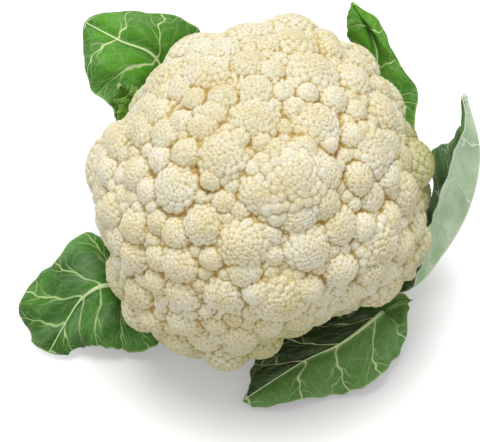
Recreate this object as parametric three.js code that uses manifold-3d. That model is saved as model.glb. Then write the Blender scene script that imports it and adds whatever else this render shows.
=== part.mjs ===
// A harvested cauliflower: a round curd of florets on a cut stalk, with the leaves that were left
// round it. Sizes are in millimetres, +Z is up, and the front is -Y. The origin is the centre of
// the stalk's cut face, which stands on the surface.
import * as THREE from 'three';
import { ConvexHull } from 'three/addons/math/ConvexHull.js';
import { mergeVertices } from 'three/addons/utils/BufferGeometryUtils.js';
import Module from 'manifold-3d';

const wasm = await Module();
wasm.setup();

// The curd's outer form is an ellipsoid with swells and hollows, which the florets reach.
const HEAD_CENTRE = new THREE.Vector3(0, 0, 84);
const HEAD_RADII = new THREE.Vector3(90, 93, 90);
const SWELLS = [
  // azimuth, latitude, spread in degrees, height
  [-137, -30, 20, 7],
  [-100, -36, 14, 8],
  [-62, -34, 22, -20],
  [-163, -12, 10, -10],
  [-20, -13, 15, 11],
  [3, 5, 12, 5],
  [48, 38, 24, 4],
  [76, 42, 11, 5],
  [98, 42, 10, -7],
  [152, 30, 18, -20],
  [176, 18, 10, 5],
];
const CORE_RADIUS = 74;
const UNDERSIDE_Z = 36; // the flat of the curd's underside, where it joins the stalk
const UNDERSIDE_RADIUS = 34; // of the flat round the join

// The florets that stand out, as [azimuth, latitude, radius, out]: degrees seen from the curd's
// centre, with azimuth -90 at the front, and how far it stands out past the outer form.
const CROWN_FLORETS = [
  [59, 64, 14, 0], [122, 71, 7.5, 0], [112, 83, 8.5, 0], [166, 72, 12, 1], [-145, 76, 7, -1],
  [-163, 68, 5.5, -1], [180, 64, 7, -1], [-94, 84, 8.5, 0], [-37, 79, 5, -1],
  [32, 84, 6, -1], [16, 70, 15, 1], [-19, 72, 5, 0], [-10, 63, 7, 0], [-44, 72, 6, -1],
  [-92, 72, 12.5, 1], [-86, 64, 4.5, 0], [-103, 65, 4.5, 0], [-65, 68, 4.5, -3],
  [-41, 63, 13, 1], [-44, 56, 4, 0], [16, 53, 10.5, 0], [-9, 54, 6, -1], [135, 70, 6, -1],
  [77, 72, 6.5, -1], [40, 55, 7.5, 0],
];
const SHOULDER_FLORETS = [
  [4, 41, 12, 0], [-169, 54, 7.5, 0], [-136, 70, 6.5, -1], [-151, 60, 6, -1],
  [-166, 47, 9.5, 0], [-134, 64, 7, 0], [-132, 54, 7, 1], [-152, 54, 8, 0],
  [-128, 43, 12, 1], [-111, 58, 12.5, 2], [-113, 50, 4.5, 0], [-105, 44, 6.5, -3],
  [-97, 42, 5, -3], [-71, 50, 22, 4], [-89, 48, 9, 0], [-53, 49, 8, 0], [-61, 40, 7.5, 0],
  [-74, 40, 8, 1], [-77, 61, 6.5, 1], [-57, 59, 5.5, 1], [-24, 43, 15.5, 2],
  [-40, 41, 7.5, 0], [-26, 32, 7, 0], [-27, 51, 6, 0],
];
const SIDE_FLORETS = [
  [-173, 33, 9, 0], [-166, 25, 7, 0], [-150, 37, 8, 0], [-144, 47, 6.5, -1],
  [-140, 36, 6, -1], [-153, 18, 9, 0], [-139, 22, 8.5, 0], [-130, 29, 6, -2],
  [-111, 35, 9.5, 1], [-121, 29, 7, 0], [-95, 31, 12.5, 2], [-94, 22, 8, 0],
  [-106, 25, 6, -1], [-136, 11, 8, 0], [-126, 17, 6.5, -1], [-133, -5, 8.5, 0],
  [-125, 7, 6.5, -1], [-117, 19, 9.5, 1], [-101, 12, 10, 0], [-115, 7, 9, 0],
  [-128, -14, 7, 0], [-115, -8, 8.5, 0], [-95, -9, 10, 0], [-103, -4, 6, -2],
  [-86, -3, 7.5, -1], [-2, 16, 12, 4], [-20, 20, 11, 1], [-57, 31, 9.5, 0],
  [-71, 28, 11.5, 1], [-44, 16, 18.5, 2], [-35, 21, 7.5, 1], [-48, 26, 6.5, 1],
  [-31, 6, 7.5, 1], [-48, 9, 8, 2], [-60, 16, 9, 1], [-39, -1, 7.5, -1], [-55, 2, 7, -1],
  [-82, 11, 15, 2], [-90, 15, 6.5, 1], [-73, 13, 7, 1], [-84, 27, 5.5, -3],
  [-85, 34, 6.5, -3], [-67, 5, 7, -5], [-55, -9, 7, -4], [70, 46, 14, -2], [94, 50, 9, -3],
  [-102, -29, 12, 0], [-170, 10, 10, -4], [-154, -1, 10, -6],
  [-88, -27, 10, 1], [-119, -25, 10, 0], [-138, -24, 11, 0],
];
// The rest of the curd is filled round the golden angle, first with large florets, then small.
const FILL_PASSES = [
  { count: 420, smallest: 13, largest: 20, spacing: 0.84, sunk: 0 },
  { count: 900, smallest: 8, largest: 10, spacing: 0.78, sunk: 3 },
];
const FLATNESS = 1.2; // radius of a floret's ball, of its radius as it is seen
const FILL_LATITUDES = [-38, 78];
const RING_SHARES = [0.42, 0.8]; // from a bud's tip to the valley's corner
const SLIDE_STEPS = [0.02, 0.02, 0.015, 0.01, 0.01, 0.005]; // radians
const GOLDEN_ANGLE = Math.PI * (3 - Math.sqrt(5));

// Each floret is a dome of buds on a smooth ball, smallest at its own crown.
const DOME_SHARE = 0.95; // radius of the smooth ball, of the floret's ball
const BUD_SHARE = 0.36;
const SMALLEST_BUD = 7.9;
const BUD_SPREAD = THREE.MathUtils.degToRad(105);
const BUD_PACKING = 2.6; // area of a bud's patch, over its radius squared
const BUD_GROWTH = 0.5;

const STALK_RADIUS = 25;
const STALK_PROFILE = [[0, 0], [21.5, 0], [23, 1.5], [24, 8], [STALK_RADIUS, 16], [27, 26], [31, 33]];
const STALK_TOP_GAP = 0.3;
const BLADE_THICKNESS = 0.9;
const LEAF_GAP = 0.35; // between a leaf's foot and the stalk

// A repeatable stream of numbers from 0 to 1.
function numberStream(seed) {
  let state = seed;
  return () => {
    state = (state * 16807) % 2147483647;
    return state / 2147483647;
  };
}

function directionAt(azimuth, latitude) {
  return new THREE.Vector3().setFromSphericalCoords(
    1,
    THREE.MathUtils.degToRad(90 - latitude),
    THREE.MathUtils.degToRad(azimuth + 90),
  ).applyAxisAngle(new THREE.Vector3(1, 0, 0), Math.PI / 2);
}

// How far the curd's outer form lies from its centre in a direction.
function headReach(direction) {
  const plain = 1 / direction.clone().divide(HEAD_RADII).length();
  return SWELLS.reduce((reach, [azimuth, latitude, spread, height]) => {
    const apart = THREE.MathUtils.radToDeg(direction.angleTo(directionAt(azimuth, latitude)));
    return reach + height * Math.exp(-((apart / spread) ** 2));
  }, plain);
}

function floretAt(direction, radius, out) {
  const ball = FLATNESS * radius;
  const along = headReach(direction) + out - ball;
  return { direction, radius, ball, centre: direction.clone().multiplyScalar(along) };
}

// Florets that fill what the listed ones leave free, by turns of the golden angle.
function addFillers(florets, pass, random) {
  const [low, high] = FILL_LATITUDES.map((d) => Math.sin(THREE.MathUtils.degToRad(d)));
  for (let i = 0; i < pass.count; i++) {
    const up = low + ((high - low) * (i + 0.5)) / pass.count;
    const direction = new THREE.Vector3(Math.sqrt(1 - up * up), 0, up)
      .applyAxisAngle(new THREE.Vector3(0, 0, 1), i * GOLDEN_ANGLE);
    const radius = pass.smallest + (pass.largest - pass.smallest) * random() * (1 - 0.5 * up);
    const free = florets.every((f) => {
      const apart = direction.angleTo(f.direction) * HEAD_RADII.x;
      return apart > pass.spacing * (radius + f.radius);
    });
    if (free) florets.push(floretAt(direction, radius, -pass.sunk));
  }
}

// The buds of one floret: balls set round its own axis by the golden angle.
function budsOf(floret) {
  const size = Math.max(BUD_SHARE * floret.radius, SMALLEST_BUD);
  const ring = floret.ball - size;
  const count = Math.round(
    (2 * Math.PI * ring * ring * (1 - Math.cos(BUD_SPREAD))) / (BUD_PACKING * size * size),
  );
  if (count < 4) return [{ centre: floret.centre, radius: floret.ball }];
  const turn = new THREE.Quaternion().setFromUnitVectors(
    new THREE.Vector3(0, 0, 1),
    floret.direction,
  );
  const growth = (j) => 1 - BUD_GROWTH / 2 + (BUD_GROWTH * (j + 0.5)) / count;
  const patches = Array.from({ length: count }, (_, j) => growth(j) ** 2);
  const total = patches.reduce((a, b) => a + b);
  let before = 0;
  const buds = patches.map((patch, j) => {
    const up = 1 - ((1 - Math.cos(BUD_SPREAD)) * (before + patch / 2)) / total;
    before += patch;
    const radius = size * growth(j);
    const centre = new THREE.Vector3(Math.sqrt(1 - up * up), 0, up)
      .applyAxisAngle(new THREE.Vector3(0, 0, 1), j * GOLDEN_ANGLE)
      .applyQuaternion(turn)
      .multiplyScalar(floret.ball - radius)
      .add(floret.centre);
    return { centre, radius };
  });
  return [{ centre: floret.centre, radius: DOME_SHARE * floret.ball }, ...buds];
}

// How far a ray from the curd's centre runs before it leaves a ball, or 0 if it misses it.
function ballReach(ball, direction) {
  const along = direction.dot(ball.centre);
  const inside = along * along - ball.centre.lengthSq() + ball.radius * ball.radius;
  return inside > 0 ? along + Math.sqrt(inside) : 0;
}

function coreReach(direction) {
  const depth = HEAD_CENTRE.z - UNDERSIDE_Z;
  const flat = direction.z < 0 ? -depth / direction.z : Infinity;
  return Math.min(CORE_RADIUS, flat);
}

function curdReach(balls, direction) {
  const core = coreReach(direction);
  const isOverStalk = Math.hypot(direction.x, direction.y) * core < UNDERSIDE_RADIUS && direction.z < 0;
  if (isOverStalk) return core;
  return balls.reduce((far, ball) => Math.max(far, ballReach(ball, direction)), core);
}

// A direction moved downhill to the bottom of the valley that it lies in.
function slideDown(balls, start) {
  let best = start;
  let lowest = curdReach(balls, start);
  for (const step of SLIDE_STEPS) {
    const side = new THREE.Vector3(0, 0, 1).cross(best).normalize().multiplyScalar(step);
    const tries = [0, 1, 2, 3, 4, 5].map((i) => side.clone()
      .applyAxisAngle(best, (i * Math.PI) / 3).add(best).normalize());
    for (const direction of tries) {
      const reach = curdReach(balls, direction);
      if (reach < lowest) [lowest, best] = [reach, direction];
    }
  }
  return best;
}

// Directions for the curd's vertices: each bud's tip, a ring round it, and the valleys' corners.
function curdDirections(balls) {
  const tips = balls
    .map((ball) => ({ ball, tip: ball.centre.clone().normalize() }))
    .filter(({ ball, tip }) => curdReach(balls, tip) < ballReach(ball, tip) + 0.6)
    .map(({ tip }) => tip);
  const underside = [];
  for (const [latitude, count] of [[-55, 24], [-66, 16], [-90, 1]]) {
    for (let i = 0; i < count; i++) underside.push(directionAt((360 * i) / count, latitude));
  }
  const hull = new ConvexHull().setFromPoints([...tips, ...underside]);
  const directions = [...tips, ...underside];
  for (const face of hull.faces) {
    const corner = slideDown(balls, face.normal.clone().normalize());
    directions.push(corner);
    let edge = face.edge;
    do {
      const tip = edge.head().point;
      if (tips.includes(tip)) {
        for (const share of RING_SHARES) directions.push(tip.clone().lerp(corner, share).normalize());
      }
      edge = edge.next;
    } while (edge !== face.edge);
  }
  return directions;
}

function curdGeometry() {
  const random = numberStream(20240);
  const florets = [...CROWN_FLORETS, ...SHOULDER_FLORETS, ...SIDE_FLORETS]
    .map(([azimuth, latitude, radius, out]) => floretAt(directionAt(azimuth, latitude), radius, out));
  FILL_PASSES.forEach((pass) => addFillers(florets, pass, random));
  const balls = florets.flatMap(budsOf);
  const directions = curdDirections(balls);
  const hull = new ConvexHull().setFromPoints(directions);
  const positions = [];
  for (const face of hull.faces) {
    let edge = face.edge;
    do {
      const d = edge.head().point;
      positions.push(...d.clone().multiplyScalar(curdReach(balls, d)).add(HEAD_CENTRE));
      edge = edge.next;
    } while (edge !== face.edge);
  }
  return new THREE.BufferGeometry()
    .setAttribute('position', new THREE.Float32BufferAttribute(positions, 3));
}

// A closed three.js geometry as a solid that can be joined and cut, and back.
function toSolid(geometry) {
  const bare = geometry.clone();
  bare.deleteAttribute('normal');
  bare.deleteAttribute('uv');
  const merged = mergeVertices(bare, 1e-3);
  return new wasm.Manifold(new wasm.Mesh({
    numProp: 3,
    vertProperties: merged.attributes.position.array,
    triVerts: new Uint32Array(merged.index.array),
  }));
}

function toGeometry(solid) {
  const mesh = solid.getMesh();
  return new THREE.BufferGeometry()
    .setAttribute('position', new THREE.BufferAttribute(mesh.vertProperties, 3))
    .setIndex(new THREE.BufferAttribute(mesh.triVerts, 1));
}

// The stalk's radius at a height, on its plain profile.
function stalkRadius(z) {
  const above = Math.max(1, STALK_PROFILE.findIndex(([, height]) => height >= z));
  const [[r0, z0], [r1, z1]] = STALK_PROFILE.slice(above - 1, above + 1);
  return THREE.MathUtils.mapLinear(z, z0, z1, r0, r1);
}

// The stalk, with the stubs of the outer leaves that were trimmed off.
const STUBS = [
  // azimuth, height, length, width
  { azimuth: 88, z: 14, length: 17, width: 19 },
  { azimuth: 168, z: 12, length: 16, width: 18 },
  { azimuth: 242, z: 13, length: 18, width: 20 },
  { azimuth: 296, z: 12, length: 15, width: 18 },
];
const STUB_DEPTH = 8.5;

function stalkGeometry() {
  const top = UNDERSIDE_Z - STALK_TOP_GAP;
  const outline = [...STALK_PROFILE, [UNDERSIDE_RADIUS - 2, top], [0, top]];
  const lathe = new THREE.LatheGeometry(outline.map(([r, z]) => new THREE.Vector2(r, z)), 30);
  let stalk = toSolid(lathe.rotateX(Math.PI / 2));
  for (const stub of STUBS) {
    const section = new THREE.Shape().absellipse(0, 0, STUB_DEPTH / 2, stub.width / 2, 0, 2 * Math.PI);
    const reach = STALK_RADIUS - 8;
    const geometry = new THREE.ExtrudeGeometry(section, {
      depth: stub.length + 8,
      bevelEnabled: false,
      curveSegments: 5,
    });
    geometry.rotateY(Math.PI / 2).translate(reach, 0, stub.z);
    geometry.rotateZ(THREE.MathUtils.degToRad(stub.azimuth));
    stalk = stalk.add(toSolid(geometry));
  }
  return toGeometry(stalk);
}

// Each leaf is a list of stations from its foot on the stalk to its tip: a point of the midrib,
// and the margins to its left and right as seen from the foot. On the leaf's stem a margin is only
// a distance to the side. The rib is [half width, depth] at the foot, the bulge is how far a half
// swells between midrib and margin, and a ruffle is [height, waves, phase] of the margin.
const LEAVES = {
  leaf_back_left: {
    rib: [5.5, 5],
    slant: 0.15,
    left: { bulge: 3, ruffle: [2, 2.5, 0.4] },
    right: { bulge: 3, ruffle: [2.5, 3, 2] },
    stations: [
      { mid: [-14.6, 21.4, 20], left: 7, right: 7 },
      { mid: [-26, 43, 11], left: 7, right: 7 },
      { mid: [-38, 68, 17], left: [-52, 60, 22], right: [-22, 74, 22] },
      { mid: [-46, 88, 46], left: [-77, 71, 50], right: [-14, 102, 55] },
      { mid: [-55, 96, 86], left: [-81, 70, 72], right: [-31, 109.5, 98] },
      { mid: [-75.5, 101, 96], left: [-91.5, 79, 84], right: [-60.5, 118.5, 104] },
      { mid: [-96.5, 115.5, 97], left: [-97, 106, 92], right: [-89.5, 119, 99] },
    ],
  },
  leaf_back_left_small: {
    rib: [2.6, 2.4],
    slant: 0.1,
    left: { bulge: 1, ruffle: [1, 2, 0] },
    right: { bulge: 1, ruffle: [1, 2, 1] },
    stations: [
      { mid: [-19, 17, 26], left: 3, right: 3 },
      { mid: [-36, 32, 21], left: 3, right: 3 },
      { mid: [-53, 48, 25], left: 4, right: 4 },
      { mid: [-64, 60, 45], left: [-70, 54, 46], right: [-58, 66, 46] },
      { mid: [-65.5, 68.5, 76], left: [-75, 59, 75], right: [-59, 77, 78] },
      { mid: [-70.5, 69, 84], left: [-77.5, 62, 83], right: [-65, 73, 86] },
      { mid: [-75, 68.5, 94], left: [-76.5, 66.5, 92.5], right: [-73, 69.5, 94] },
    ],
  },
  leaf_back_right: {
    rib: [5.5, 5],
    slant: 0.14,
    left: { bulge: 2, ruffle: [2, 2.5, 1] },
    right: { bulge: 4, ruffle: [4, 3, 0.5] },
    stations: [
      { mid: [13.6, 21.8, 20], left: 7, right: 7 },
      { mid: [25, 41, 11], left: 7, right: 7 },
      { mid: [42, 66, 18], left: [28, 73, 24], right: [56, 56, 24] },
      { mid: [59, 80, 52], left: [34, 96, 56], right: [90, 55, 60] },
      { mid: [69, 87.5, 88], left: [54, 100, 90], right: [89.5, 62.5, 84] },
      { mid: [64.5, 101.5, 104], left: [51, 96, 106], right: [77, 94.5, 101] },
      { mid: [54.5, 109, 118], left: [52, 102, 117], right: [58, 107.5, 118] },
    ],
  },
  leaf_right: {
    rib: [5.5, 5],
    slant: 0.12,
    left: { bulge: 4, ruffle: [2, 2, 0] },
    right: { bulge: 3, ruffle: [2, 2.6, 2.4] },
    stations: [
      { mid: [26, 2, 20], left: 6.5, right: 6.5 },
      { mid: [52, -2, 10.5], left: 7, right: 7 },
      { mid: [84, -9, 14], left: [80, 8, 18], right: [78, -22, 21] },
      { mid: [102, -3, 36], left: [97, 25, 42], right: [91, -13.5, 44] },
      { mid: [114, 3.5, 66], left: [98.5, 33.5, 75], right: [93, -9.5, 74] },
      { mid: [117, 12.5, 100], left: [107, 30, 96], right: [102.5, -2.5, 112] },
      { mid: [107.5, 22, 134], left: [108.5, 20.5, 131], right: [106.5, 18.5, 133] },
    ],
  },
  leaf_front: {
    rib: [5.5, 5],
    slant: 0.14,
    left: { bulge: 2, ruffle: [4, 3, 3.8] },
    right: { bulge: 0, ruffle: [1.5, 2, 0] },
    stations: [
      { mid: [21.5, -15, 20], left: 6.5, right: 6.5 },
      { mid: [43, -26, 10.5], left: 7, right: 7 },
      { mid: [66, -30, 14], left: [82, -25, 26], right: [50, -36, 18] },
      { mid: [68, -37, 24], left: [84, -44, 19], right: [52.5, -43, 25] },
      { mid: [47, -53.5, 20], left: [67, -68, 8], right: [30, -48, 17] },
      { mid: [26, -61.5, 14], left: [36, -79.5, 6], right: [10, -62, 11] },
      { mid: [-6.5, -80.5, 5], left: [0.5, -85, 4], right: [-4, -76.5, 6] },
    ],
  },
  leaf_left: {
    rib: [5.5, 5],
    slant: 0.14,
    left: { bulge: 3, ruffle: [2, 2.5, 0] },
    right: { bulge: 4, ruffle: [2.5, 2.5, 2] },
    stations: [
      { mid: [-24, -8.5, 20], left: 7, right: 7 },
      { mid: [-45, -16, 10.5], left: 7, right: 7 },
      { mid: [-64, -21, 16], left: [-52.5, -47, 10], right: [-76, 8, 27] },
      { mid: [-79, -25, 34], left: [-69, -50, 7], right: [-90, 6, 39] },
      { mid: [-92.5, -30.5, 31], left: [-85.5, -49, 12], right: [-114.5, -8, 32] },
      { mid: [-102.5, -37.5, 18], left: [-95.5, -49, 7], right: [-128.5, -26.5, 18] },
      { mid: [-112.5, -48.5, 4], left: [-105.5, -49.5, 4], right: [-123.5, -42, 6] },
    ],
  },
};
const PETIOLE_END = 0.3; // share of the midrib's length before the blade starts
const PETIOLE_ROWS = 4;
const BLADE_ROWS = 18;
const BLADE_STEPS = [0.34, 0.68, 1]; // across a half, from the rib's edge to the margin
const VEINS = 6; // side veins of a half
const PUFF = 1.2; // how far the blade swells between its veins
const TOOTH = 1;

function curveThrough(points) {
  return new THREE.CatmullRomCurve3(points, false, 'catmullrom');
}

// The middle surface of a leaf, as a function of the row, the side and the share of its width.
function leafForm(leaf) {
  const spine = curveThrough(leaf.stations.map((s) => new THREE.Vector3(...s.mid)));
  const last = leaf.stations.length - 1;
  const margin = (side, sign) => curveThrough(leaf.stations.map((station, i) => {
    if (Array.isArray(station[side])) return new THREE.Vector3(...station[side]);
    const across = spine.getTangent(i / last).cross(new THREE.Vector3(0, 0, 1)).normalize();
    return new THREE.Vector3(...station.mid).addScaledVector(across, sign * station[side]);
  }));
  const margins = { left: margin('left', -1), right: margin('right', 1) };
  const ribHalf = (t) => leaf.rib[0] * (1 - 0.85 * t);
  const ribDepth = (t) => leaf.rib[1] * (1 - 0.9 * t);

  // row runs from 0 at the foot to 1 at the tip; a share below 0 lies within the rib.
  function point(row, side, share, tooth) {
    const blade = THREE.MathUtils.clamp((row - PETIOLE_END) / (1 - PETIOLE_END), 0, 1);
    const t = row - leaf.slant * Math.sin(Math.PI * blade) * (1 - share) * (1 - 0.4 * blade);
    const mid = spine.getPoint(t);
    const across = margins[side].getPoint(row).sub(mid);
    const width = across.length();
    across.normalize();
    const sign = side === 'right' ? 1 : -1;
    const normal = across.clone().cross(spine.getTangent(t)).multiplyScalar(sign).normalize();
    const rib = ribHalf(t);
    const distance = share < 0 ? -share * rib : rib + (Math.max(width - rib, 1) + tooth) * share;
    const { bulge, ruffle: [height, waves, phase] } = leaf[side];
    const inBlade = THREE.MathUtils.smoothstep(blade, 0, 0.15)
      * (1 - 0.6 * THREE.MathUtils.smoothstep(blade, 0.85, 1));
    const across01 = Math.max(share, 0);
    const ruffled = height * across01 ** 1.6 * Math.sin(2 * Math.PI * waves * blade + phase);
    const puffed = PUFF * Math.abs(Math.sin(Math.PI * VEINS * blade))
      * Math.sin(Math.PI * across01 ** 0.7);
    const bulged = bulge * 4 * across01 * (1 - across01);
    return mid.addScaledVector(across, distance)
      .addScaledVector(normal, inBlade * (ruffled + puffed + bulged));
  }
  return { point, ribHalf, ribDepth };
}

// A leaf's solid: the middle surface set out by half the thickness each way, with the midrib's
// keel below it. Both faces are split into triangles alike.
function leafGeometry(leaf) {
  const form = leafForm(leaf);
  const rows = [];
  for (let i = 0; i < PETIOLE_ROWS; i++) rows.push((PETIOLE_END * i) / PETIOLE_ROWS);
  for (let i = 0; i <= BLADE_ROWS; i++) {
    rows.push(PETIOLE_END + (1 - PETIOLE_END) * (i / BLADE_ROWS));
  }
  const shares = [-0.6, 0, ...BLADE_STEPS];
  const columns = [
    ...shares.map((s) => ({ side: 'left', share: s })).reverse(),
    { side: 'right', share: -0 },
    ...shares.map((s) => ({ side: 'right', share: s })),
  ];
  const middle = rows.map((row, i) => columns.map(({ side, share }) => {
    const tooth = row > PETIOLE_END ? (i % 2 ? TOOTH : -TOOTH) : 0;
    const centre = Object.is(share, -0);
    return form.point(row, side, centre ? -1e-6 : share, tooth);
  }));
  const normalAt = (i, j) => {
    const above = middle[Math.min(i + 1, rows.length - 1)][j];
    const below = middle[Math.max(i - 1, 0)][j];
    const right = middle[i][Math.min(j + 1, columns.length - 1)];
    const left = middle[i][Math.max(j - 1, 0)];
    return right.clone().sub(left).cross(above.clone().sub(below)).normalize();
  };
  const half = BLADE_THICKNESS / 2;
  const centre = (columns.length - 1) / 2;
  const faces = { top: [], bottom: [] };
  rows.forEach((row, i) => {
    columns.forEach((_, j) => {
      const off = Math.abs(j - centre);
      const keel = off === 0 ? 1 : off === 1 ? 0.72 : 0;
      const depth = form.ribDepth(row);
      const n = normalAt(i, j);
      faces.top.push(middle[i][j].clone().addScaledVector(n, half + 0.22 * keel * depth));
      faces.bottom.push(middle[i][j].clone().addScaledVector(n, -half - keel * depth));
    });
  });
  const foot = [faces.top, faces.bottom].flatMap((face) => face.slice(0, columns.length));
  for (const point of foot) {
    const scale = (stalkRadius(point.z) + LEAF_GAP) / Math.hypot(point.x, point.y);
    point.set(point.x * scale, point.y * scale, point.z);
  }
  return shellGeometry(faces, rows.length, columns.length);
}

// A closed body between two grids of points with the same rows and columns.
function shellGeometry({ top, bottom }, rows, columns) {
  const offset = top.length;
  const index = [];
  const quad = (a, b, c, d) => index.push(a, b, c, a, c, d);
  const at = (i, j) => i * columns + j;
  for (let i = 0; i < rows - 1; i++) {
    for (let j = 0; j < columns - 1; j++) {
      quad(at(i, j), at(i, j + 1), at(i + 1, j + 1), at(i + 1, j));
      const [a, b, c, d] = [at(i, j), at(i, j + 1), at(i + 1, j + 1), at(i + 1, j)];
      index.push(offset + a, offset + c, offset + b, offset + a, offset + d, offset + c);
    }
    const last = columns - 1;
    quad(at(i, 0), at(i + 1, 0), offset + at(i + 1, 0), offset + at(i, 0));
    quad(at(i + 1, last), at(i, last), offset + at(i, last), offset + at(i + 1, last));
  }
  for (let j = 0; j < columns - 1; j++) {
    const last = rows - 1;
    quad(at(0, j + 1), at(0, j), offset + at(0, j), offset + at(0, j + 1));
    quad(at(last, j), at(last, j + 1), offset + at(last, j + 1), offset + at(last, j));
  }
  const positions = [...top, ...bottom].flatMap((p) => p.toArray());
  return new THREE.BufferGeometry()
    .setAttribute('position', new THREE.Float32BufferAttribute(positions, 3))
    .setIndex(index);
}

const curdWhite = new THREE.MeshStandardMaterial({ color: 0xefe4be, roughness: 0.7, metalness: 0 });
const stalkGreen = new THREE.MeshStandardMaterial({ color: 0xc3d49a, roughness: 0.6, metalness: 0 });
const leafGreen = new THREE.MeshStandardMaterial({ color: 0x3f7d33, roughness: 0.55, metalness: 0 });

function named(name, geometry, material) {
  const mesh = new THREE.Mesh(geometry, material);
  mesh.name = name;
  return mesh;
}

const cauliflower = new THREE.Group();
cauliflower.add(named('curd', curdGeometry(), curdWhite));
cauliflower.add(named('stalk', stalkGeometry(), stalkGreen));
for (const [name, leaf] of Object.entries(LEAVES)) {
  cauliflower.add(named(name, leafGeometry(leaf), leafGreen.clone()));
}

export default cauliflower;
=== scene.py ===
"""A harvested cauliflower on a pale surface: the curd, its cut stalk and the six leaves left round it.

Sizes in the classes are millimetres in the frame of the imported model, +Z up and the front at -Y, and
become metres where a mesh is written.
"""
import enum
import logging
import math
from dataclasses import dataclass, field
from typing import Optional, Sequence

import bmesh
import bpy
import numpy as np
from mathutils import Matrix, Vector


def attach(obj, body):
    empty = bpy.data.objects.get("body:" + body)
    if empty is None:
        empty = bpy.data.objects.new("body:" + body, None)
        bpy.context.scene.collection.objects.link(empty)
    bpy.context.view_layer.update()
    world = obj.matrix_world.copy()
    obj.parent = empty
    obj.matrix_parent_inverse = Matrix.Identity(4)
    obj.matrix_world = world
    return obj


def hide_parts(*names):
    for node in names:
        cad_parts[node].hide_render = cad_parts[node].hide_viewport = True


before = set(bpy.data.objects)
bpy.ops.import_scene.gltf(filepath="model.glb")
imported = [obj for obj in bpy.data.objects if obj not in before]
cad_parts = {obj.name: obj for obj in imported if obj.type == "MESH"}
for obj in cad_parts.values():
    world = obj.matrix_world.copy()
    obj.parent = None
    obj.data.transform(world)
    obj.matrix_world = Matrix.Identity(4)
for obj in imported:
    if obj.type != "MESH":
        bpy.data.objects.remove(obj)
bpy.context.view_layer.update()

LOG = logging.getLogger("cauliflower")
MM = 0.001
GOLDEN_ANGLE = math.pi * (3 - math.sqrt(5))
LEAF_UV = "leaf"

Colour = tuple[float, float, float]


def linear(red: int, green: int, blue: int) -> Colour:
    """Turn a screen colour of 0 to 255 into the scene's linear values."""
    return tuple(((c / 255 + 0.055) / 1.055) ** 2.4 for c in (red, green, blue))


def direction_at(azimuth: float, latitude: float) -> np.ndarray:
    """Give the unit vector at an azimuth and latitude in degrees."""
    az, lat = math.radians(azimuth), math.radians(latitude)
    return np.array([math.cos(lat) * math.cos(az), math.cos(lat) * math.sin(az), math.sin(lat)])


def smoothstep(value: np.ndarray, low: float, high: float) -> np.ndarray:
    """Rise smoothly from 0 at low to 1 at high."""
    x = np.clip((value - low) / (high - low), 0, 1)
    return x * x * (3 - 2 * x)


def waves(points: np.ndarray, size: float, seed: int) -> np.ndarray:
    """Make soft lumps as a sum of slanted sine waves.

    Args:
        points: Places in millimetres, one a row.
        size: The lumps' rough width in millimetres.
        seed: Picks one arrangement of lumps.

    Returns:
        Heights between about -1 and 1.
    """
    summed, evened = 7, 3.2
    stream = np.random.default_rng(seed)
    total = np.zeros(len(points))
    for _ in range(summed):
        slant = stream.normal(size=points.shape[1])
        slant *= math.pi / (size * np.linalg.norm(slant)) * stream.uniform(0.7, 1.5)
        total += np.sin(points @ slant + stream.uniform(0, 2 * math.pi))
    return total / evened


class NumberStream:
    """A repeatable stream of numbers from 0 to 1, the same as the one that lays out the solids."""

    FACTOR = 16807
    MODULUS = 2147483647

    def __init__(self, seed: int) -> None:
        """Start the stream at a seed."""
        self.state = seed

    def next(self) -> float:
        """Give the next number."""
        self.state = self.state * self.FACTOR % self.MODULUS
        return self.state / self.MODULUS


def finish_piece(name: str, mesh: bpy.types.Mesh, material: bpy.types.Material, node: str) -> bpy.types.Object:
    """Make the object of a piece, smooth and dressed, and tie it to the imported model.

    Args:
        name: The piece's name.
        mesh: Its mesh in metres.
        material: The material it wears.
        node: The solid that it stands for.

    Returns:
        The new object.
    """
    mesh.materials.append(material)
    mesh.shade_smooth()
    piece = bpy.data.objects.new(name, mesh)
    bpy.context.scene.collection.objects.link(piece)
    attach(piece, "root")
    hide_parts(node)
    triangles = sum(len(p.vertices) - 2 for p in mesh.polygons)
    LOG.info("%s: %d triangles", name, triangles)
    return piece


def mesh_points(mesh: bpy.types.Mesh) -> np.ndarray:
    """Read a mesh's vertices, one a row."""
    flat = np.empty(len(mesh.vertices) * 3)
    mesh.vertices.foreach_get("co", flat)
    return flat.reshape(-1, 3)


def place_points(mesh: bpy.types.Mesh, millimetres: np.ndarray) -> None:
    """Move a mesh's vertices to places given in millimetres."""
    mesh.vertices.foreach_set("co", (millimetres * MM).astype(np.float32).ravel())
    mesh.update()


def store(mesh: bpy.types.Mesh, name: str, values: np.ndarray) -> None:
    """Keep one number or one vector a vertex on a mesh, for its material to read."""
    if values.ndim == 1:
        layer = mesh.attributes.new(name, "FLOAT", "POINT")
        layer.data.foreach_set("value", values.astype(np.float32))
    else:
        layer = mesh.attributes.new(name, "FLOAT_VECTOR", "POINT")
        layer.data.foreach_set("vector", values.astype(np.float32).ravel())


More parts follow.
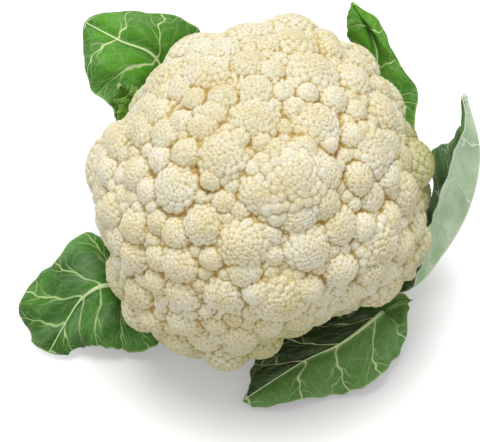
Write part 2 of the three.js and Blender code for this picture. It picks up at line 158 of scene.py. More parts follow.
class Graph:
    """A node tree with short calls that add its nodes and join them."""

    def __init__(self, tree: bpy.types.NodeTree) -> None:
        """Take the tree to write in."""
        self.tree = tree

    def node(self, kind: str, **settings: object) -> bpy.types.Node:
        """Add a node of a kind, such as TexNoise, and set its properties."""
        made = self.tree.nodes.new("ShaderNode" + kind)
        for key, value in settings.items():
            setattr(made, key, value)
        return made

    def feed(self, socket: bpy.types.NodeSocket, value: object) -> None:
        """Join an output to an input, or set the input to a plain value."""
        if isinstance(value, bpy.types.NodeSocket):
            self.tree.links.new(value, socket)
        elif isinstance(value, tuple) and socket.type == "RGBA":
            socket.default_value = (*value, 1.0)
        else:
            socket.default_value = value

    def math(self, operation: str, *inputs: object, clamp: bool = False) -> bpy.types.NodeSocket:
        """Work out one number from others."""
        made = self.node("Math", operation=operation, use_clamp=clamp)
        for socket, value in zip(made.inputs, inputs):
            self.feed(socket, value)
        return made.outputs[0]

    def step(self, value: object, low: float, high: float, start: float = 0.0,
             end: float = 1.0) -> bpy.types.NodeSocket:
        """Pass smoothly from start to end while a value goes from low to high."""
        made = self.node("MapRange", interpolation_type="SMOOTHSTEP")
        for key, given in zip(("Value", "From Min", "From Max", "To Min", "To Max"),
                              (value, low, high, start, end)):
            self.feed(made.inputs[key], given)
        return made.outputs["Result"]

    def mix(self, share: object, first: object, second: object,
            blend: str = "MIX") -> bpy.types.NodeSocket:
        """Blend two colours by a share."""
        made = self.node("Mix", data_type="RGBA", blend_type=blend, clamp_factor=True)
        self.feed(made.inputs["Factor"], share)
        self.feed(made.inputs[6], first)
        self.feed(made.inputs[7], second)
        return made.outputs[2]

    def rest(self, value: object, clamp: bool = False) -> bpy.types.NodeSocket:
        """Give what a value leaves of 1."""
        return self.math("SUBTRACT", 1.0, value, clamp=clamp)

    def noise(self, place: bpy.types.NodeSocket, scale: object, detail: float = 2.0,
              roughness: float = 0.5) -> bpy.types.NodeSocket:
        """Add a noise over a place and give its value."""
        made = self.node("TexNoise")
        for key, value in (("Vector", place), ("Scale", scale), ("Detail", detail),
                           ("Roughness", roughness)):
            self.feed(made.inputs[key], value)
        return made.outputs[0]

    def cells(self, place: bpy.types.NodeSocket, scale: object, **settings: object) -> bpy.types.Node:
        """Add a pattern of cells over a place."""
        made = self.node("TexVoronoi", **settings)
        self.feed(made.inputs["Vector"], place)
        self.feed(made.inputs["Scale"], scale)
        return made

    def attribute(self, name: str, output: str = "Fac") -> bpy.types.NodeSocket:
        """Read a value kept on the vertices."""
        return self.node("Attribute", attribute_name=name).outputs[output]

    def object_place(self) -> bpy.types.NodeSocket:
        """Read the place on the object in metres."""
        return self.node("TexCoord").outputs["Object"]

    def leaf_place(self) -> Sequence[bpy.types.NodeSocket]:
        """Read the place on a leaf from 0 to 1, first across it and then from foot to tip."""
        made = self.node("SeparateXYZ")
        self.feed(made.inputs[0], self.node("UVMap", uv_map=LEAF_UV).outputs[0])
        return made.outputs

    def bump(self, height: object, distance: float, strength: float) -> bpy.types.NodeSocket:
        """Turn a height into a bent normal."""
        made = self.node("Bump")
        made.inputs["Strength"].default_value = strength
        made.inputs["Distance"].default_value = distance
        self.feed(made.inputs["Height"], height)
        return made.outputs["Normal"]


class EffectGroup:
    """A node group that is built once and placed in each material that uses it."""

    label = ""

    def __init__(self) -> None:
        """Make the empty group and its graph."""
        self.tree = bpy.data.node_groups.new(self.label, "ShaderNodeTree")
        self.graph = Graph(self.tree)

    def socket(self, name: str, flow: str, kind: str = "NodeSocketFloat",
               value: object = None) -> None:
        """Give the group a named input or output."""
        made = self.tree.interface.new_socket(name=name, in_out=flow, socket_type=kind)
        if value is not None:
            made.default_value = value

    def ends(self) -> tuple[Sequence[bpy.types.NodeSocket], Sequence[bpy.types.NodeSocket]]:
        """Add the nodes that bring the group's inputs in and take its outputs away."""
        given = self.tree.nodes.new("NodeGroupInput")
        result = self.tree.nodes.new("NodeGroupOutput")
        return given.outputs, result.inputs

    def put(self, graph: Graph, **values: object) -> bpy.types.Node:
        """Place the group in a material with that material's own values."""
        made = graph.node("Group")
        made.node_tree = self.tree
        for name, value in values.items():
            graph.feed(made.inputs[name.replace("_", " ")], value)
        return made


class GrainGroup(EffectGroup):
    """Fine granules and slow mottling, of the curd's surface and of cut flesh."""

    label = "granules and mottling"
    ROUNDNESS = 0.35
    # how far from the edge of a granule its dark line starts to fade, and where it ends
    LINE = (0.02, 0.16)
    # specks to a granule, and mottled patches to a metre
    GRAIN_SCALE = 2.2
    MOTTLE_SCALE = 45.0

    def __init__(self) -> None:
        """Build the group."""
        super().__init__()
        g = self.graph
        self.socket("Place", "INPUT", "NodeSocketVector")
        self.socket("Granule Size", "INPUT", value=0.0012)
        for name in ("Granules", "Lines", "Grain", "Mottle"):
            self.socket(name, "OUTPUT")
        given, result = self.ends()
        place = given["Place"]
        per_metre = g.math("DIVIDE", 1.0, given["Granule Size"])
        cells = g.cells(place, per_metre, feature="SMOOTH_F1")
        cells.inputs["Smoothness"].default_value = self.ROUNDNESS
        far = cells.outputs["Distance"]
        g.feed(result["Granules"], g.rest(g.math("MULTIPLY", far, far)))
        edges = g.cells(place, per_metre, feature="DISTANCE_TO_EDGE").outputs["Distance"]
        g.feed(result["Lines"], g.step(edges, *self.LINE, 1.0, 0.0))
        finer = g.math("MULTIPLY", per_metre, self.GRAIN_SCALE)
        g.feed(result["Grain"], g.noise(place, finer, 3.0, 0.65))
        g.feed(result["Mottle"], g.noise(place, self.MOTTLE_SCALE, 3.0, 0.6))


class VeinGroup(EffectGroup):
    """The rib, side veins and fine network of a leaf, read from its own flat coordinates."""

    label = "leaf veins"
    # where a branch leaves its side vein as a share of the blade's half, how steeply, and to which side
    BRANCHES = ((0.22, 0.6, 1), (0.58, 0.9, 1), (0.4, 0.7, -1), (0.72, 1.0, -1))
    # shares of the blade where the stem's tone, the foot's tone and the veins fade out or in
    STEM = (-0.12, 0.04)
    FOOT = (0.2, 0.6)
    BLADE = (-0.02, 0.06)
    # half widths of the rib's pale line and of its faded edge, as shares of the rib's own
    RIB_LINE = (0.26, 0.46)
    RIB_TAPER = 0.02
    # how far the side veins sway and kink, as shares of the space between two
    SWAY = 0.5
    KINK = 0.26
    # distances in millimetres from the middle of a side vein and of a branch where they fade
    VEIN_EDGE = (0.35, 1.0)
    BRANCH_EDGE = (0.1, 0.55)
    # how much a side vein's width falls from the rib to the margin
    VEIN_TAPER = (0.9, 0.42)
    # cells to a millimetre, and the width of the lines between them
    COARSE_NET = (0.14, 0.085)
    FINE_NET = (0.42, 0.1)

    def __init__(self) -> None:
        """Build the group."""
        super().__init__()
        g = self.graph
        self.socket("Side Veins", "INPUT", value=6.0)
        self.socket("Blade Length", "INPUT", value=110.0)
        for name in ("Rib", "Vein", "Network", "Stem", "Foot", "Height"):
            self.socket(name, "OUTPUT")
        given, result = self.ends()
        sheet = g.attribute("sheet", "Vector")
        flat = g.leaf_place()
        across = g.math("ABSOLUTE", g.math("MULTIPLY_ADD", flat[0], 2.0, -1.0))
        share = g.math("DIVIDE", g.math("SUBTRACT", across, LeafForm.RIB_SPAN), 1 - LeafForm.RIB_SPAN,
                       clamp=True)
        blade = g.math("DIVIDE", g.math("SUBTRACT", flat[1], LeafForm.PETIOLE_END),
                       1 - LeafForm.PETIOLE_END)
        inside = g.step(blade, *self.BLADE)
        vein = g.math("MULTIPLY", self.veins(given, sheet, share, blade), inside)
        network = g.math("MAXIMUM", self.net(sheet, *self.COARSE_NET),
                         g.math("MULTIPLY", self.net(sheet, *self.FINE_NET), 0.55))
        network = g.math("MULTIPLY", network, inside)
        narrowing = g.math("MULTIPLY_ADD", g.step(blade, 0.0, 1.0), self.RIB_TAPER, across)
        g.feed(result["Rib"], g.step(narrowing, *(LeafForm.RIB_SPAN * edge for edge in self.RIB_LINE),
                                     1.0, 0.0))
        g.feed(result["Vein"], vein)
        g.feed(result["Network"], network)
        g.feed(result["Stem"], g.step(blade, *self.STEM, 1.0, 0.0))
        g.feed(result["Foot"], g.step(blade, *self.FOOT, 1.0, 0.0))
        g.feed(result["Height"], g.math("ADD", g.math("MULTIPLY", vein, 0.8),
                                        g.math("MULTIPLY", network, 0.4)))

    def veins(self, given: Sequence[bpy.types.NodeSocket], sheet: bpy.types.NodeSocket,
              share: bpy.types.NodeSocket, blade: bpy.types.NodeSocket) -> bpy.types.NodeSocket:
        """Draw the side veins and their branches.

        Args:
            given: The group's inputs.
            sheet: The place on the flattened leaf in millimetres.
            share: How far out from the rib to the margin.
            blade: How far along the blade.

        Returns:
            The veins, 1 in the middle of each.
        """
        g = self.graph
        sway = g.math("SUBTRACT", g.noise(sheet, 0.05, 1.0), 0.5)
        turns = g.math("MULTIPLY_ADD", sway, self.SWAY, g.math("MULTIPLY", blade, given["Side Veins"]))
        kinks = g.math("SUBTRACT", g.noise(sheet, 0.17, 0.0), 0.5)
        turns = g.math("MULTIPLY_ADD", kinks, self.KINK, turns)
        gap = g.math("DIVIDE", given["Blade Length"], given["Side Veins"])
        far = g.math("MULTIPLY", self.from_line(turns), gap)
        width = g.step(share, 0.0, 0.9, *self.VEIN_TAPER)
        vein = g.rest(g.step(g.math("DIVIDE", far, width), *self.VEIN_EDGE), clamp=True)
        ahead = g.math("FRACT", turns)
        behind = g.rest(ahead)
        bend = g.math("MULTIPLY_ADD", g.noise(sheet, 0.11, 1.0), 0.16, -0.08)
        for start, slope, side in self.BRANCHES:
            run = g.math("SUBTRACT", g.math("ADD", share, bend), start)
            line = g.math("MULTIPLY", g.math("POWER", g.math("MAXIMUM", run, 0.0), 0.85), slope)
            off = g.math("ABSOLUTE", g.math("SUBTRACT", ahead if side > 0 else behind, line))
            thin = g.rest(g.step(g.math("MULTIPLY", off, gap), *self.BRANCH_EDGE), clamp=True)
            shown = g.math("MULTIPLY", g.step(run, 0.0, 0.01), g.step(run, 0.0, 0.4, 0.6, 0.1))
            vein = g.math("MAXIMUM", vein, g.math("MULTIPLY", thin, shown))
        return vein

    def from_line(self, value: bpy.types.NodeSocket) -> bpy.types.NodeSocket:
        """Give how far a value is from the nearest whole number."""
        g = self.graph
        return g.math("ABSOLUTE", g.math("SUBTRACT", g.math("FRACT", g.math("ADD", value, 0.5)), 0.5))

    def net(self, place: bpy.types.NodeSocket, scale: float, width: float) -> bpy.types.NodeSocket:
        """Draw the edges between cells as thin lines."""
        cells = self.graph.cells(place, scale, feature="DISTANCE_TO_EDGE", voronoi_dimensions="2D")
        return self.graph.step(cells.outputs["Distance"], 0.01, width, 1.0, 0.0)


def new_material(name: str) -> tuple[bpy.types.Material, Graph, bpy.types.Node]:
    """Make a material with one principled shader.

    Args:
        name: The material's name.

    Returns:
        The material, its graph and the shader node.
    """
    material = bpy.data.materials.new(name)
    material.use_nodes = True
    graph = Graph(material.node_tree)
    return material, graph, material.node_tree.nodes["Principled BSDF"]


def soften(shader: bpy.types.Node, weight: float, colours: Colour, depth: float) -> None:
    """Let light into the flesh: how much of it, how far each colour goes, and the depth in metres."""
    shader.inputs["Subsurface Weight"].default_value = weight
    shader.inputs["Subsurface Radius"].default_value = colours
    shader.inputs["Subsurface Scale"].default_value = depth


@dataclass(frozen=True)
class CurdFinish:
    """Cream buds with painted shade that turns them yellow and then tan in the clefts between them, partly the
    real tan of the stems there.
    """

    name: str = "curd"
    tip: Colour = linear(240, 238, 222)
    warm: Colour = linear(234, 227, 196)
    line: Colour = linear(196, 172, 92)
    # the tones of the painted shade in the clefts and hollows, partly the real tan of the stems between
    # florets
    cleft_shade: Colour = linear(196, 162, 88)
    hollow_shade: Colour = linear(142, 104, 46)
    # the greenish dark tone multiplied in as painted shade under the curd and in the leaves' shadows
    painted_shade: Colour = linear(166, 178, 66)
    # sizes of the large and the small granules in metres
    granules: tuple[float, float] = (0.0022, 0.0012)
    bump_height: float = 0.0005
    soft_depth: float = 0.003

    def material(self, grain: GrainGroup) -> bpy.types.Material:
        """Build the material.

        Args:
            grain: The shared group of granules.

        Returns:
            The material.
        """
        material, g, shader = new_material(self.name)
        place = g.object_place()
        fine, finer = (grain.put(g, Place=place, Granule_Size=size) for size in self.granules)
        at_crown = g.step(g.attribute("crown"), 0.25, 0.75, 1.0, 0.0)
        mottle = fine.outputs["Mottle"]
        colour = g.mix(g.step(mottle, 0.35, 0.7), self.tip, self.warm)
        colour = g.mix(g.step(g.attribute("tint"), 0.2, 1.0, 0.0, 0.4), colour, self.warm)
        pale_lines = g.math("MULTIPLY", fine.outputs["Lines"], g.step(mottle, 0.3, 0.7, 0.2, 0.5))
        colour = g.mix(pale_lines, colour, self.line)
        specks = g.math("MULTIPLY", finer.outputs["Lines"], g.math("MULTIPLY_ADD", at_crown, 0.2, 0.1))
        colour = g.mix(specks, colour, self.line)
        # painted shade: creases, clefts and hollows turn ochre and tan, partly the stems' real colour and
        # partly shade and light glowing through the flesh
        for mask, low, high, most, tone in (("crease", 0.15, 0.8, 0.75, self.line),
                                            ("cleft_shade", 0.2, 0.9, 0.9, self.cleft_shade),
                                            ("hollow", 0.45, 1.0, 0.9, self.hollow_shade)):
            colour = g.mix(g.step(g.attribute(mask), low, high, 0.0, most), colour, tone)
        # painted shade: darkens and greens the underside and the places in the leaves' shadows
        colour = g.mix(g.math("MULTIPLY", g.attribute("painted_shade"), 0.85), colour, self.painted_shade, "MULTIPLY")
        g.feed(shader.inputs["Base Color"], colour)
        g.feed(shader.inputs["Roughness"], g.step(fine.outputs["Grain"], 0.2, 0.8, 0.5, 0.78))
        small = g.math("MULTIPLY", g.math("MULTIPLY_ADD", at_crown, 0.4, 0.5), finer.outputs["Granules"])
        height = g.math("ADD", fine.outputs["Granules"], small)
        height = g.math("MULTIPLY_ADD", fine.outputs["Grain"], 0.35, height)
        g.feed(shader.inputs["Normal"], g.bump(height, self.bump_height, 0.7))
        soften(shader, 0.5, (1.0, 0.78, 0.35), self.soft_depth)
        shader.inputs["Specular IOR Level"].default_value = 0.3
        return material


@dataclass(frozen=True)
class StalkFinish:
    """Pale green skin with lengthwise fibres, and cream flesh where it was cut."""

    name: str = "stalk"
    skin: Colour = linear(206, 219, 164)
    shade: Colour = linear(158, 184, 108)
    flesh: Colour = linear(236, 232, 196)
    ring: Colour = linear(198, 196, 138)
    dry: Colour = linear(176, 150, 98)
    granule: float = 0.0018
    # fibres to a metre along X, Y and Z
    fibre_scale: tuple[float, float, float] = (260.0, 260.0, 22.0)
    bump_height: float = 0.0005
    soft_depth: float = 0.002

    def material(self, grain: GrainGroup) -> bpy.types.Material:
        """Build the material.

        Args:
            grain: The shared group of granules.

        Returns:
            The material.
        """
        material, g, shader = new_material(self.name)
        place = g.object_place()
        fine = grain.put(g, Place=place, Granule_Size=self.granule)
        stretch = g.node("Mapping")
        stretch.inputs["Scale"].default_value = self.fibre_scale
        g.feed(stretch.inputs["Vector"], place)
        fibres = g.noise(stretch.outputs[0], 1.0, 3.0, 0.6)
        skin = g.mix(g.step(fibres, 0.3, 0.75), self.skin, self.shade)
        skin = g.mix(g.step(fine.outputs["Mottle"], 0.5, 0.75, 0.0, 0.6), skin, self.shade)
        rim = g.attribute("rim")
        flesh = g.mix(g.step(rim, 0.55, 0.8), self.flesh, self.ring)
        flesh = g.mix(g.step(g.math("MULTIPLY_ADD", fibres, 0.25, rim), 0.95, 1.15), flesh, self.dry)
        g.feed(shader.inputs["Base Color"], g.mix(g.step(g.attribute("cut"), 0.3, 0.7), skin, flesh))
        g.feed(shader.inputs["Roughness"], g.step(fibres, 0.2, 0.8, 0.38, 0.6))
        height = g.math("ADD", fibres, g.math("MULTIPLY", fine.outputs["Grain"], 0.5))
        g.feed(shader.inputs["Normal"], g.bump(height, self.bump_height, 0.6))
        soften(shader, 0.15, (0.8, 1.0, 0.4), self.soft_depth)
        return material


@dataclass(frozen=True)
class LeafFinish:
    """A green leaf face with pale veins, and a duller, paler underside."""

    name: str
    # the face's two greens, its veins, the underside, the rib and the rib's foot
    green: Colour = linear(88, 138, 52)
    dark: Colour = linear(52, 98, 34)
    pale: Colour = linear(198, 218, 152)
    under: Colour = linear(132, 165, 112)
    rib: Colour = linear(220, 234, 184)
    foot: Colour = linear(168, 196, 116)
    # how much the face yellows, its grey waxy bloom shows, partly painted sheen, and its green reaches the
    # underside
    yellow: float = 0.0
    bloom_and_sheen: float = 0.15
    mottle: float = 0.5
    yellowed: Colour = linear(186, 190, 62)
    waxy_sheen: Colour = linear(150, 186, 140)
    # painted light: the brighter tone of the half to the left of the rib, where a leaf has one, as if that
    # half caught more light
    painted_light_half: Optional[Colour] = None
    bump_height: float = 0.0006
    soft_depth: float = 0.001

    def material(self, veins: VeinGroup, blade_length: float) -> bpy.types.Material:
        """Build the material.

        Args:
            veins: The shared group of leaf veins.
            blade_length: The blade's length in millimetres, which sets the veins' width.

        Returns:
            The material.
        """
        material, g, shader = new_material(self.name)
        net = veins.put(g, Side_Veins=float(LeafForm.VEINS), Blade_Length=blade_length)
        sheet = g.attribute("sheet", "Vector")
        top = g.step(g.attribute("face"), 0.35, 0.65)
        patches = g.noise(sheet, 0.045, 4.0, 0.55)
        specks = g.noise(sheet, 0.6, 2.0, 0.6)
        face = g.mix(g.step(patches, 0.36, 0.66), self.dark, self.green)
        if self.yellow:
            face = g.mix(g.step(patches, 0.4, 0.7, 0.0, self.yellow), face, self.yellowed)
        # painted light: lightens the half to the left of the rib
        if self.painted_light_half:
            face = g.mix(g.step(g.leaf_place()[0], 0.44, 0.54, 0.7, 0.0), face, self.painted_light_half)
        back = g.mix(g.step(patches, 0.3, 0.7, 0.0, self.mottle), self.under, self.green)
        colour = g.mix(top, back, face)
        # the leaf's real waxy bloom, partly painted sheen
        bloom_and_sheen = g.step(g.noise(sheet, 0.07, 2.0), 0.42, 0.68, 0.0, self.bloom_and_sheen)
        colour = g.mix(bloom_and_sheen, colour, self.waxy_sheen)
        colour = g.mix(g.step(specks, 0.3, 0.75, 0.0, 0.06), colour, self.pale)
        colour = g.mix(g.math("MULTIPLY", net.outputs["Network"], 0.1), colour, self.pale)
        colour = g.mix(g.math("MULTIPLY", net.outputs["Vein"], 0.85), colour, self.pale)
        edge = g.step(g.attribute("margin"), 0.965, 1.0, 0.0, 0.55)
        colour = g.mix(edge, colour, self.pale)
        rib_shade = g.mix(g.step(patches, 0.3, 0.7), self.pale, self.rib)
        rib_shade = g.mix(net.outputs["Foot"], rib_shade, self.foot)
        for mask in ("Rib", "Stem"):
            colour = g.mix(net.outputs[mask], colour, rib_shade)
        g.feed(shader.inputs["Base Color"], colour)
        g.feed(shader.inputs["Roughness"], g.mix(top, (0.6, 0.6, 0.6), (0.48, 0.48, 0.48)))
        height = g.math("ADD", g.math("MULTIPLY", net.outputs["Height"], g.step(top, 0, 1, 1.0, -0.5)),
                        g.math("MULTIPLY", specks, 0.3))
        g.feed(shader.inputs["Normal"], g.bump(height, self.bump_height, 0.7))
        shader.inputs["Specular IOR Level"].default_value = 0.28
        soften(shader, 0.08, (0.5, 1.0, 0.15), self.soft_depth)
        return material


@dataclass(eq=False)
class Floret:
    """One dome of buds: the direction it faces, its radius and its centre from the curd's."""

    direction: np.ndarray
    radius: float
    centre: np.ndarray

    @property
    def latitude(self) -> float:
        """Give how high it faces, in degrees."""
        return math.degrees(math.asin(self.direction[2]))

    @property
    def azimuth(self) -> float:
        """Give which way it faces round the curd, in degrees."""
        return math.degrees(math.atan2(self.direction[1], self.direction[0]))


class Part(enum.Enum):
    """The pieces that the curd is made in."""

    CROWN = "curd_crown"
    FRONT = "curd_front"
    RIGHT = "curd_right"
    BACK = "curd_back"
    LEFT = "curd_left"
    UNDERSIDE = "curd_underside"


@dataclass(frozen=True)
class SpiralRule:
    """How balls are set round an axis by the golden angle, smallest at the crown."""

    spread: float
    smallest: float
    largest: float
    growth: float
    packing: float
    least: float
    jitter: float
    stand_out: tuple[float, float]

    def balls(self, axis: np.ndarray, centre: np.ndarray, radius: float, width: float,
              stream: np.random.Generator) -> tuple[np.ndarray, np.ndarray]:
        """Set the balls on a ball.

        Args:
            axis: The direction of the crown.
            centre: The centre of the ball that carries them.
            radius: That ball's radius.
            width: The radius that their sizes are shares of.
            stream: Gives the small differences between them.

        Returns:
            Their centres, one a row, and their radii.
        """
        whole = 1 - math.cos(math.radians(self.spread))
        painted_shadows = 0.0
        ups, sizes = [], []
        while painted_shadows < whole:
            share = math.sqrt(painted_shadows / whole)
            size = max(self.least, width * (self.smallest + (self.largest - self.smallest)
                                            * share ** self.growth))
            patch = self.packing * size * size / (2 * math.pi * radius ** 2)
            ups.append(1 - painted_shadows - patch / 2)
            sizes.append(size)
            painted_shadows += patch
        up, size = np.clip(ups, -1, 1), np.array(sizes)
        turn = np.arange(len(size)) * GOLDEN_ANGLE + stream.uniform(0, 2 * math.pi)
        flat = np.sqrt(1 - up * up)
        local = np.stack([flat * np.cos(turn), flat * np.sin(turn), up], axis=1)
        local += stream.normal(size=local.shape) * (self.jitter * size / radius)[:, None]
        local /= np.linalg.norm(local, axis=1)[:, None]
        size = size * stream.uniform(0.85, 1.15, len(size))
        away = radius - size * (1 - stream.uniform(*self.stand_out, len(size)))
        return centre + (local @ turn_to(axis).T) * away[:, None], size


@dataclass(frozen=True)
class Cluster:
    """A close group of balls round a centre, all within a radius of it."""

    centre: np.ndarray
    radius: float
    centres: np.ndarray
    radii: np.ndarray

    def push_out(self, rays: np.ndarray, reach: np.ndarray) -> None:
        """Raise the lengths of the rays from the origin that leave these balls farther out.

        Args:
            rays: Unit directions, one a row.
            reach: The lengths so far, which are changed.
        """
        away = float(np.linalg.norm(self.centre))
        toward = (self.centre / away).astype(np.float32)
        hit = np.flatnonzero(rays @ toward > math.cos(math.asin(min(0.99, self.radius / away))))
        if len(hit):
            reach[hit] = np.maximum(reach[hit], ball_reach(rays[hit], self.centres, self.radii))


def turn_to(axis: np.ndarray) -> np.ndarray:
    """Give the rotation that turns +Z to an axis."""
    return np.array(Vector((0, 0, 1)).rotation_difference(Vector(axis)).to_matrix())


def ball_reach(rays: np.ndarray, centres: np.ndarray, radii: np.ndarray) -> np.ndarray:
    """Measure how far rays from the origin run before they leave the farthest ball.

    Args:
        rays: Unit directions, one a row.
        centres: The balls' centres, one a row.
        radii: The balls' radii.

    Returns:
        A length for each ray.
    """
    along = rays @ centres.T.astype(rays.dtype)
    inside = along * along
    inside += (radii * radii - (centres * centres).sum(1)).astype(rays.dtype)
    missed = inside < 0
    np.sqrt(np.abs(inside), out=inside)
    inside += along
    inside[missed] = 0
    return inside.max(axis=1)


def smoothed(values: np.ndarray, links: np.ndarray, rounds: int) -> np.ndarray:
    """Even values out over a mesh by taking the mean of each vertex and its neighbours.

    Args:
        values: One number a vertex.
        links: The mesh's edges as pairs of vertices.
        rounds: How many times.

    Returns:
        The evened values.
    """
    ends = np.concatenate([links[:, 0], links[:, 1]])
    others = np.concatenate([links[:, 1], links[:, 0]])
    count = np.bincount(ends, minlength=len(values)) + 1
    for _ in range(rounds):
        values = (values + np.bincount(ends, values[others], len(values))) / count
    return values


@dataclass
class Curd:
    """The white head: a close surface of florets, each a dome of buds, on stems below."""

    grain: GrainGroup
    centre: np.ndarray = field(default_factory=lambda: np.array([0.0, 0.0, 84.0]))
    radii: np.ndarray = field(default_factory=lambda: np.array([90.0, 93.0, 90.0]))
    underside_depth: float = 48.0
    # azimuth, latitude, spread in degrees, height
    swells: Sequence[tuple[float, float, float, float]] = (
        (-137, -30, 20, 7),
        (-100, -36, 14, 8),
        (-62, -34, 22, -20),
        (-163, -12, 10, -10),
        (-20, -13, 15, 11),
        (3, 5, 12, 5),
        (48, 38, 24, 4),
        (76, 42, 11, 5),
        (98, 42, 10, -7),
        (152, 30, 18, -20),
        (176, 18, 10, 5),
    )
    # azimuth, latitude in degrees, radius, how far it stands out
    listed: Sequence[tuple[float, float, float, float]] = (
        (59, 64, 14, 0), (122, 71, 7.5, 0), (112, 83, 8.5, 0), (166, 72, 12, 1),
        (-145, 76, 7, -1), (-163, 68, 5.5, -1), (180, 64, 7, -1), (-94, 84, 8.5, 0),
        (-37, 79, 5, -1), (32, 84, 6, -1), (16, 70, 15, 1), (-19, 72, 5, 0), (-10, 63, 7, 0),
        (-44, 72, 6, -1), (-92, 72, 12.5, 1), (-86, 64, 4.5, 0), (-103, 65, 4.5, 0),
        (-65, 68, 4.5, -3), (-41, 63, 13, 1), (-44, 56, 4, 0), (16, 53, 10.5, 0),
        (-9, 54, 6, -1), (135, 70, 6, -1), (77, 72, 6.5, -1), (40, 55, 7.5, 0), (4, 41, 12, 0),
        (-169, 54, 7.5, 0), (-136, 70, 6.5, -1), (-151, 60, 6, -1), (-166, 47, 9.5, 0),
        (-134, 64, 7, 0), (-132, 54, 7, 1), (-152, 54, 8, 0), (-128, 43, 12, 1),
        (-111, 58, 12.5, 2), (-113, 50, 4.5, 0), (-105, 44, 6.5, -3), (-97, 42, 5, -3),
        (-73, 50, 22, 4.5), (-71, 51.5, 13, 5.5), (-88, 48, 9.5, 1.5), (-56, 49, 9, 1.5),
        (-61, 41, 8.5, 1), (-73, 40, 9, 1.5),
        (-78, 60, 7, 1), (-59, 59, 6.5, 1), (-24, 43, 15.5, 2), (-40, 41, 7.5, 1),
        (-26, 32, 7, 1), (-27, 52, 6, 1), (-173, 33, 9, 0), (-166, 25, 7, 0), (-150, 37, 8, 0),
        (-144, 47, 6.5, -1), (-140, 36, 6, -1), (-153, 18, 9, 0), (-139, 22, 8.5, 0),
        (-130, 29, 6, -2), (-111, 35, 9.5, 1), (-121, 29, 7, 0), (-95, 31, 12.5, 2),
        (-94, 22, 8, 0), (-106, 25, 6, -1), (-136, 11, 8, 0), (-126, 17, 6.5, -1),
        (-133, -5, 8.5, 0), (-125, 7, 6.5, -1), (-117, 19, 9.5, 1), (-101, 12, 10, 0),
        (-115, 7, 9, 0), (-128, -14, 7, 0), (-115, -8, 8.5, 0), (-95, -9, 10, 0),
        (-103, -4, 6, -2), (-86, -3, 7.5, -1), (-2, 16, 12, 4), (-20, 20, 11, 1),
        (-57, 31, 9.5, 0), (-71, 28, 11.5, 1), (-44, 16, 18.5, 2), (-35, 21, 7.5, 1),
        (-48, 26, 6.5, 1), (-31, 6, 7.5, 1), (-48, 9, 8, 2), (-60, 16, 9, 1),
        (-39, -1, 7.5, -1), (-55, 2, 7, -1), (-82, 11, 15, 2), (-90, 15, 6.5, 1),
        (-73, 13, 7, 1), (-84, 27, 5.5, -3), (-85, 34, 6.5, -3), (-67, 5, 7, -5),
        (-55, -9, 7, -4), (70, 46, 14, -2), (94, 50, 9, -3), (-102, -29, 12, 0),
        (-170, 10, 10, -4), (-154, -1, 10, -6),
        (-88, -27, 10, 1), (-119, -25, 10, 0), (-138, -24, 11, 0),
    )
    # azimuth, latitude, spread in degrees, strength of the painted shadows that the leaves cast on the curd
    painted_shadows: Sequence[tuple[float, float, float, float]] = (
        (2, 12, 17, 0.95),
        (-12, -14, 16, 0.7),
        (-75, -32, 26, 0.75),
        (-150, -8, 16, 0.35),
        (125, 5, 26, 0.5),
        (55, 5, 26, 0.5),
    )
    # count, smallest, largest radius, spacing, how far sunk
    fill_passes: Sequence[tuple[int, float, float, float, float]] = (
        (420, 13, 20, 0.84, 0),
        (900, 8, 10, 0.78, 2),
        (2600, 3.6, 5.6, 0.8, 3.6),
    )
    fill_latitudes: tuple[float, float] = (-38, 78)
    fill_seed: int = 20240
    flatness: float = 1.24
    floor_depth: float = 7.0
    floor_lumps: float = 1.6
    underside_radius: float = 34.0
    unevenness: float = 0.35
    coarse_cuts: int = 12
    fine_cuts: int = 14
    buds: SpiralRule = SpiralRule(spread=88, smallest=0.08, largest=0.4, growth=1.3, packing=2.0,
                                  least=1.4, jitter=0.14, stand_out=(0.0, 0.16))
    knobs: SpiralRule = SpiralRule(spread=78, smallest=0.26, largest=0.4, growth=1.0, packing=2.1,
                                   least=1.1, jitter=0.12, stand_out=(0.08, 0.2))

    def __post_init__(self) -> None:
        """Lay the florets out."""
        self.finish = CurdFinish().material(self.grain)
        self.florets = [self.floret_at(direction_at(az, lat), r, out) for az, lat, r, out in self.listed]
        self.add_fillers()

    def head_reach(self, directions: np.ndarray) -> np.ndarray:
        """Measure how far the outer form lies from the curd's centre.

        Args:
            directions: Unit directions, one a row.

        Returns:
            A length for each direction.
        """
        reach = 1 / np.linalg.norm(directions / self.radii, axis=1)
        for azimuth, latitude, spread, height in self.swells:
            along = np.clip(directions @ direction_at(azimuth, latitude), -1, 1)
            reach = reach + height * np.exp(-(np.degrees(np.arccos(along)) / spread) ** 2)
        return reach

    def floret_at(self, direction: np.ndarray, radius: float, out: float) -> Floret:
        """Stand a floret so that its crown reaches the outer form."""
        along = float(self.head_reach(direction[None])[0]) + out - self.flatness * radius
        return Floret(direction, radius, direction * along)

    def add_fillers(self) -> None:
        """Fill what the listed florets leave free, by turns of the golden angle."""
        stream = NumberStream(self.fill_seed)
        low, high = (math.sin(math.radians(d)) for d in self.fill_latitudes)
        others = np.array([f.direction for f in self.florets])
        sizes = np.array([f.radius for f in self.florets])
        for count, smallest, largest, spacing, sunk in self.fill_passes:
            for i in range(count):
                up = low + (high - low) * (i + 0.5) / count
                flat, turn = math.sqrt(1 - up * up), i * GOLDEN_ANGLE
                direction = np.array([flat * math.cos(turn), flat * math.sin(turn), up])
                radius = smallest + (largest - smallest) * stream.next() * (1 - 0.5 * up)
                apart = np.arccos(np.clip(others @ direction, -1, 1)) * self.radii[0]
                if np.all(apart > spacing * (radius + sizes)):
                    self.florets.append(self.floret_at(direction, radius, -sunk))
                    others = np.vstack([others, direction])
                    sizes = np.append(sizes, radius)

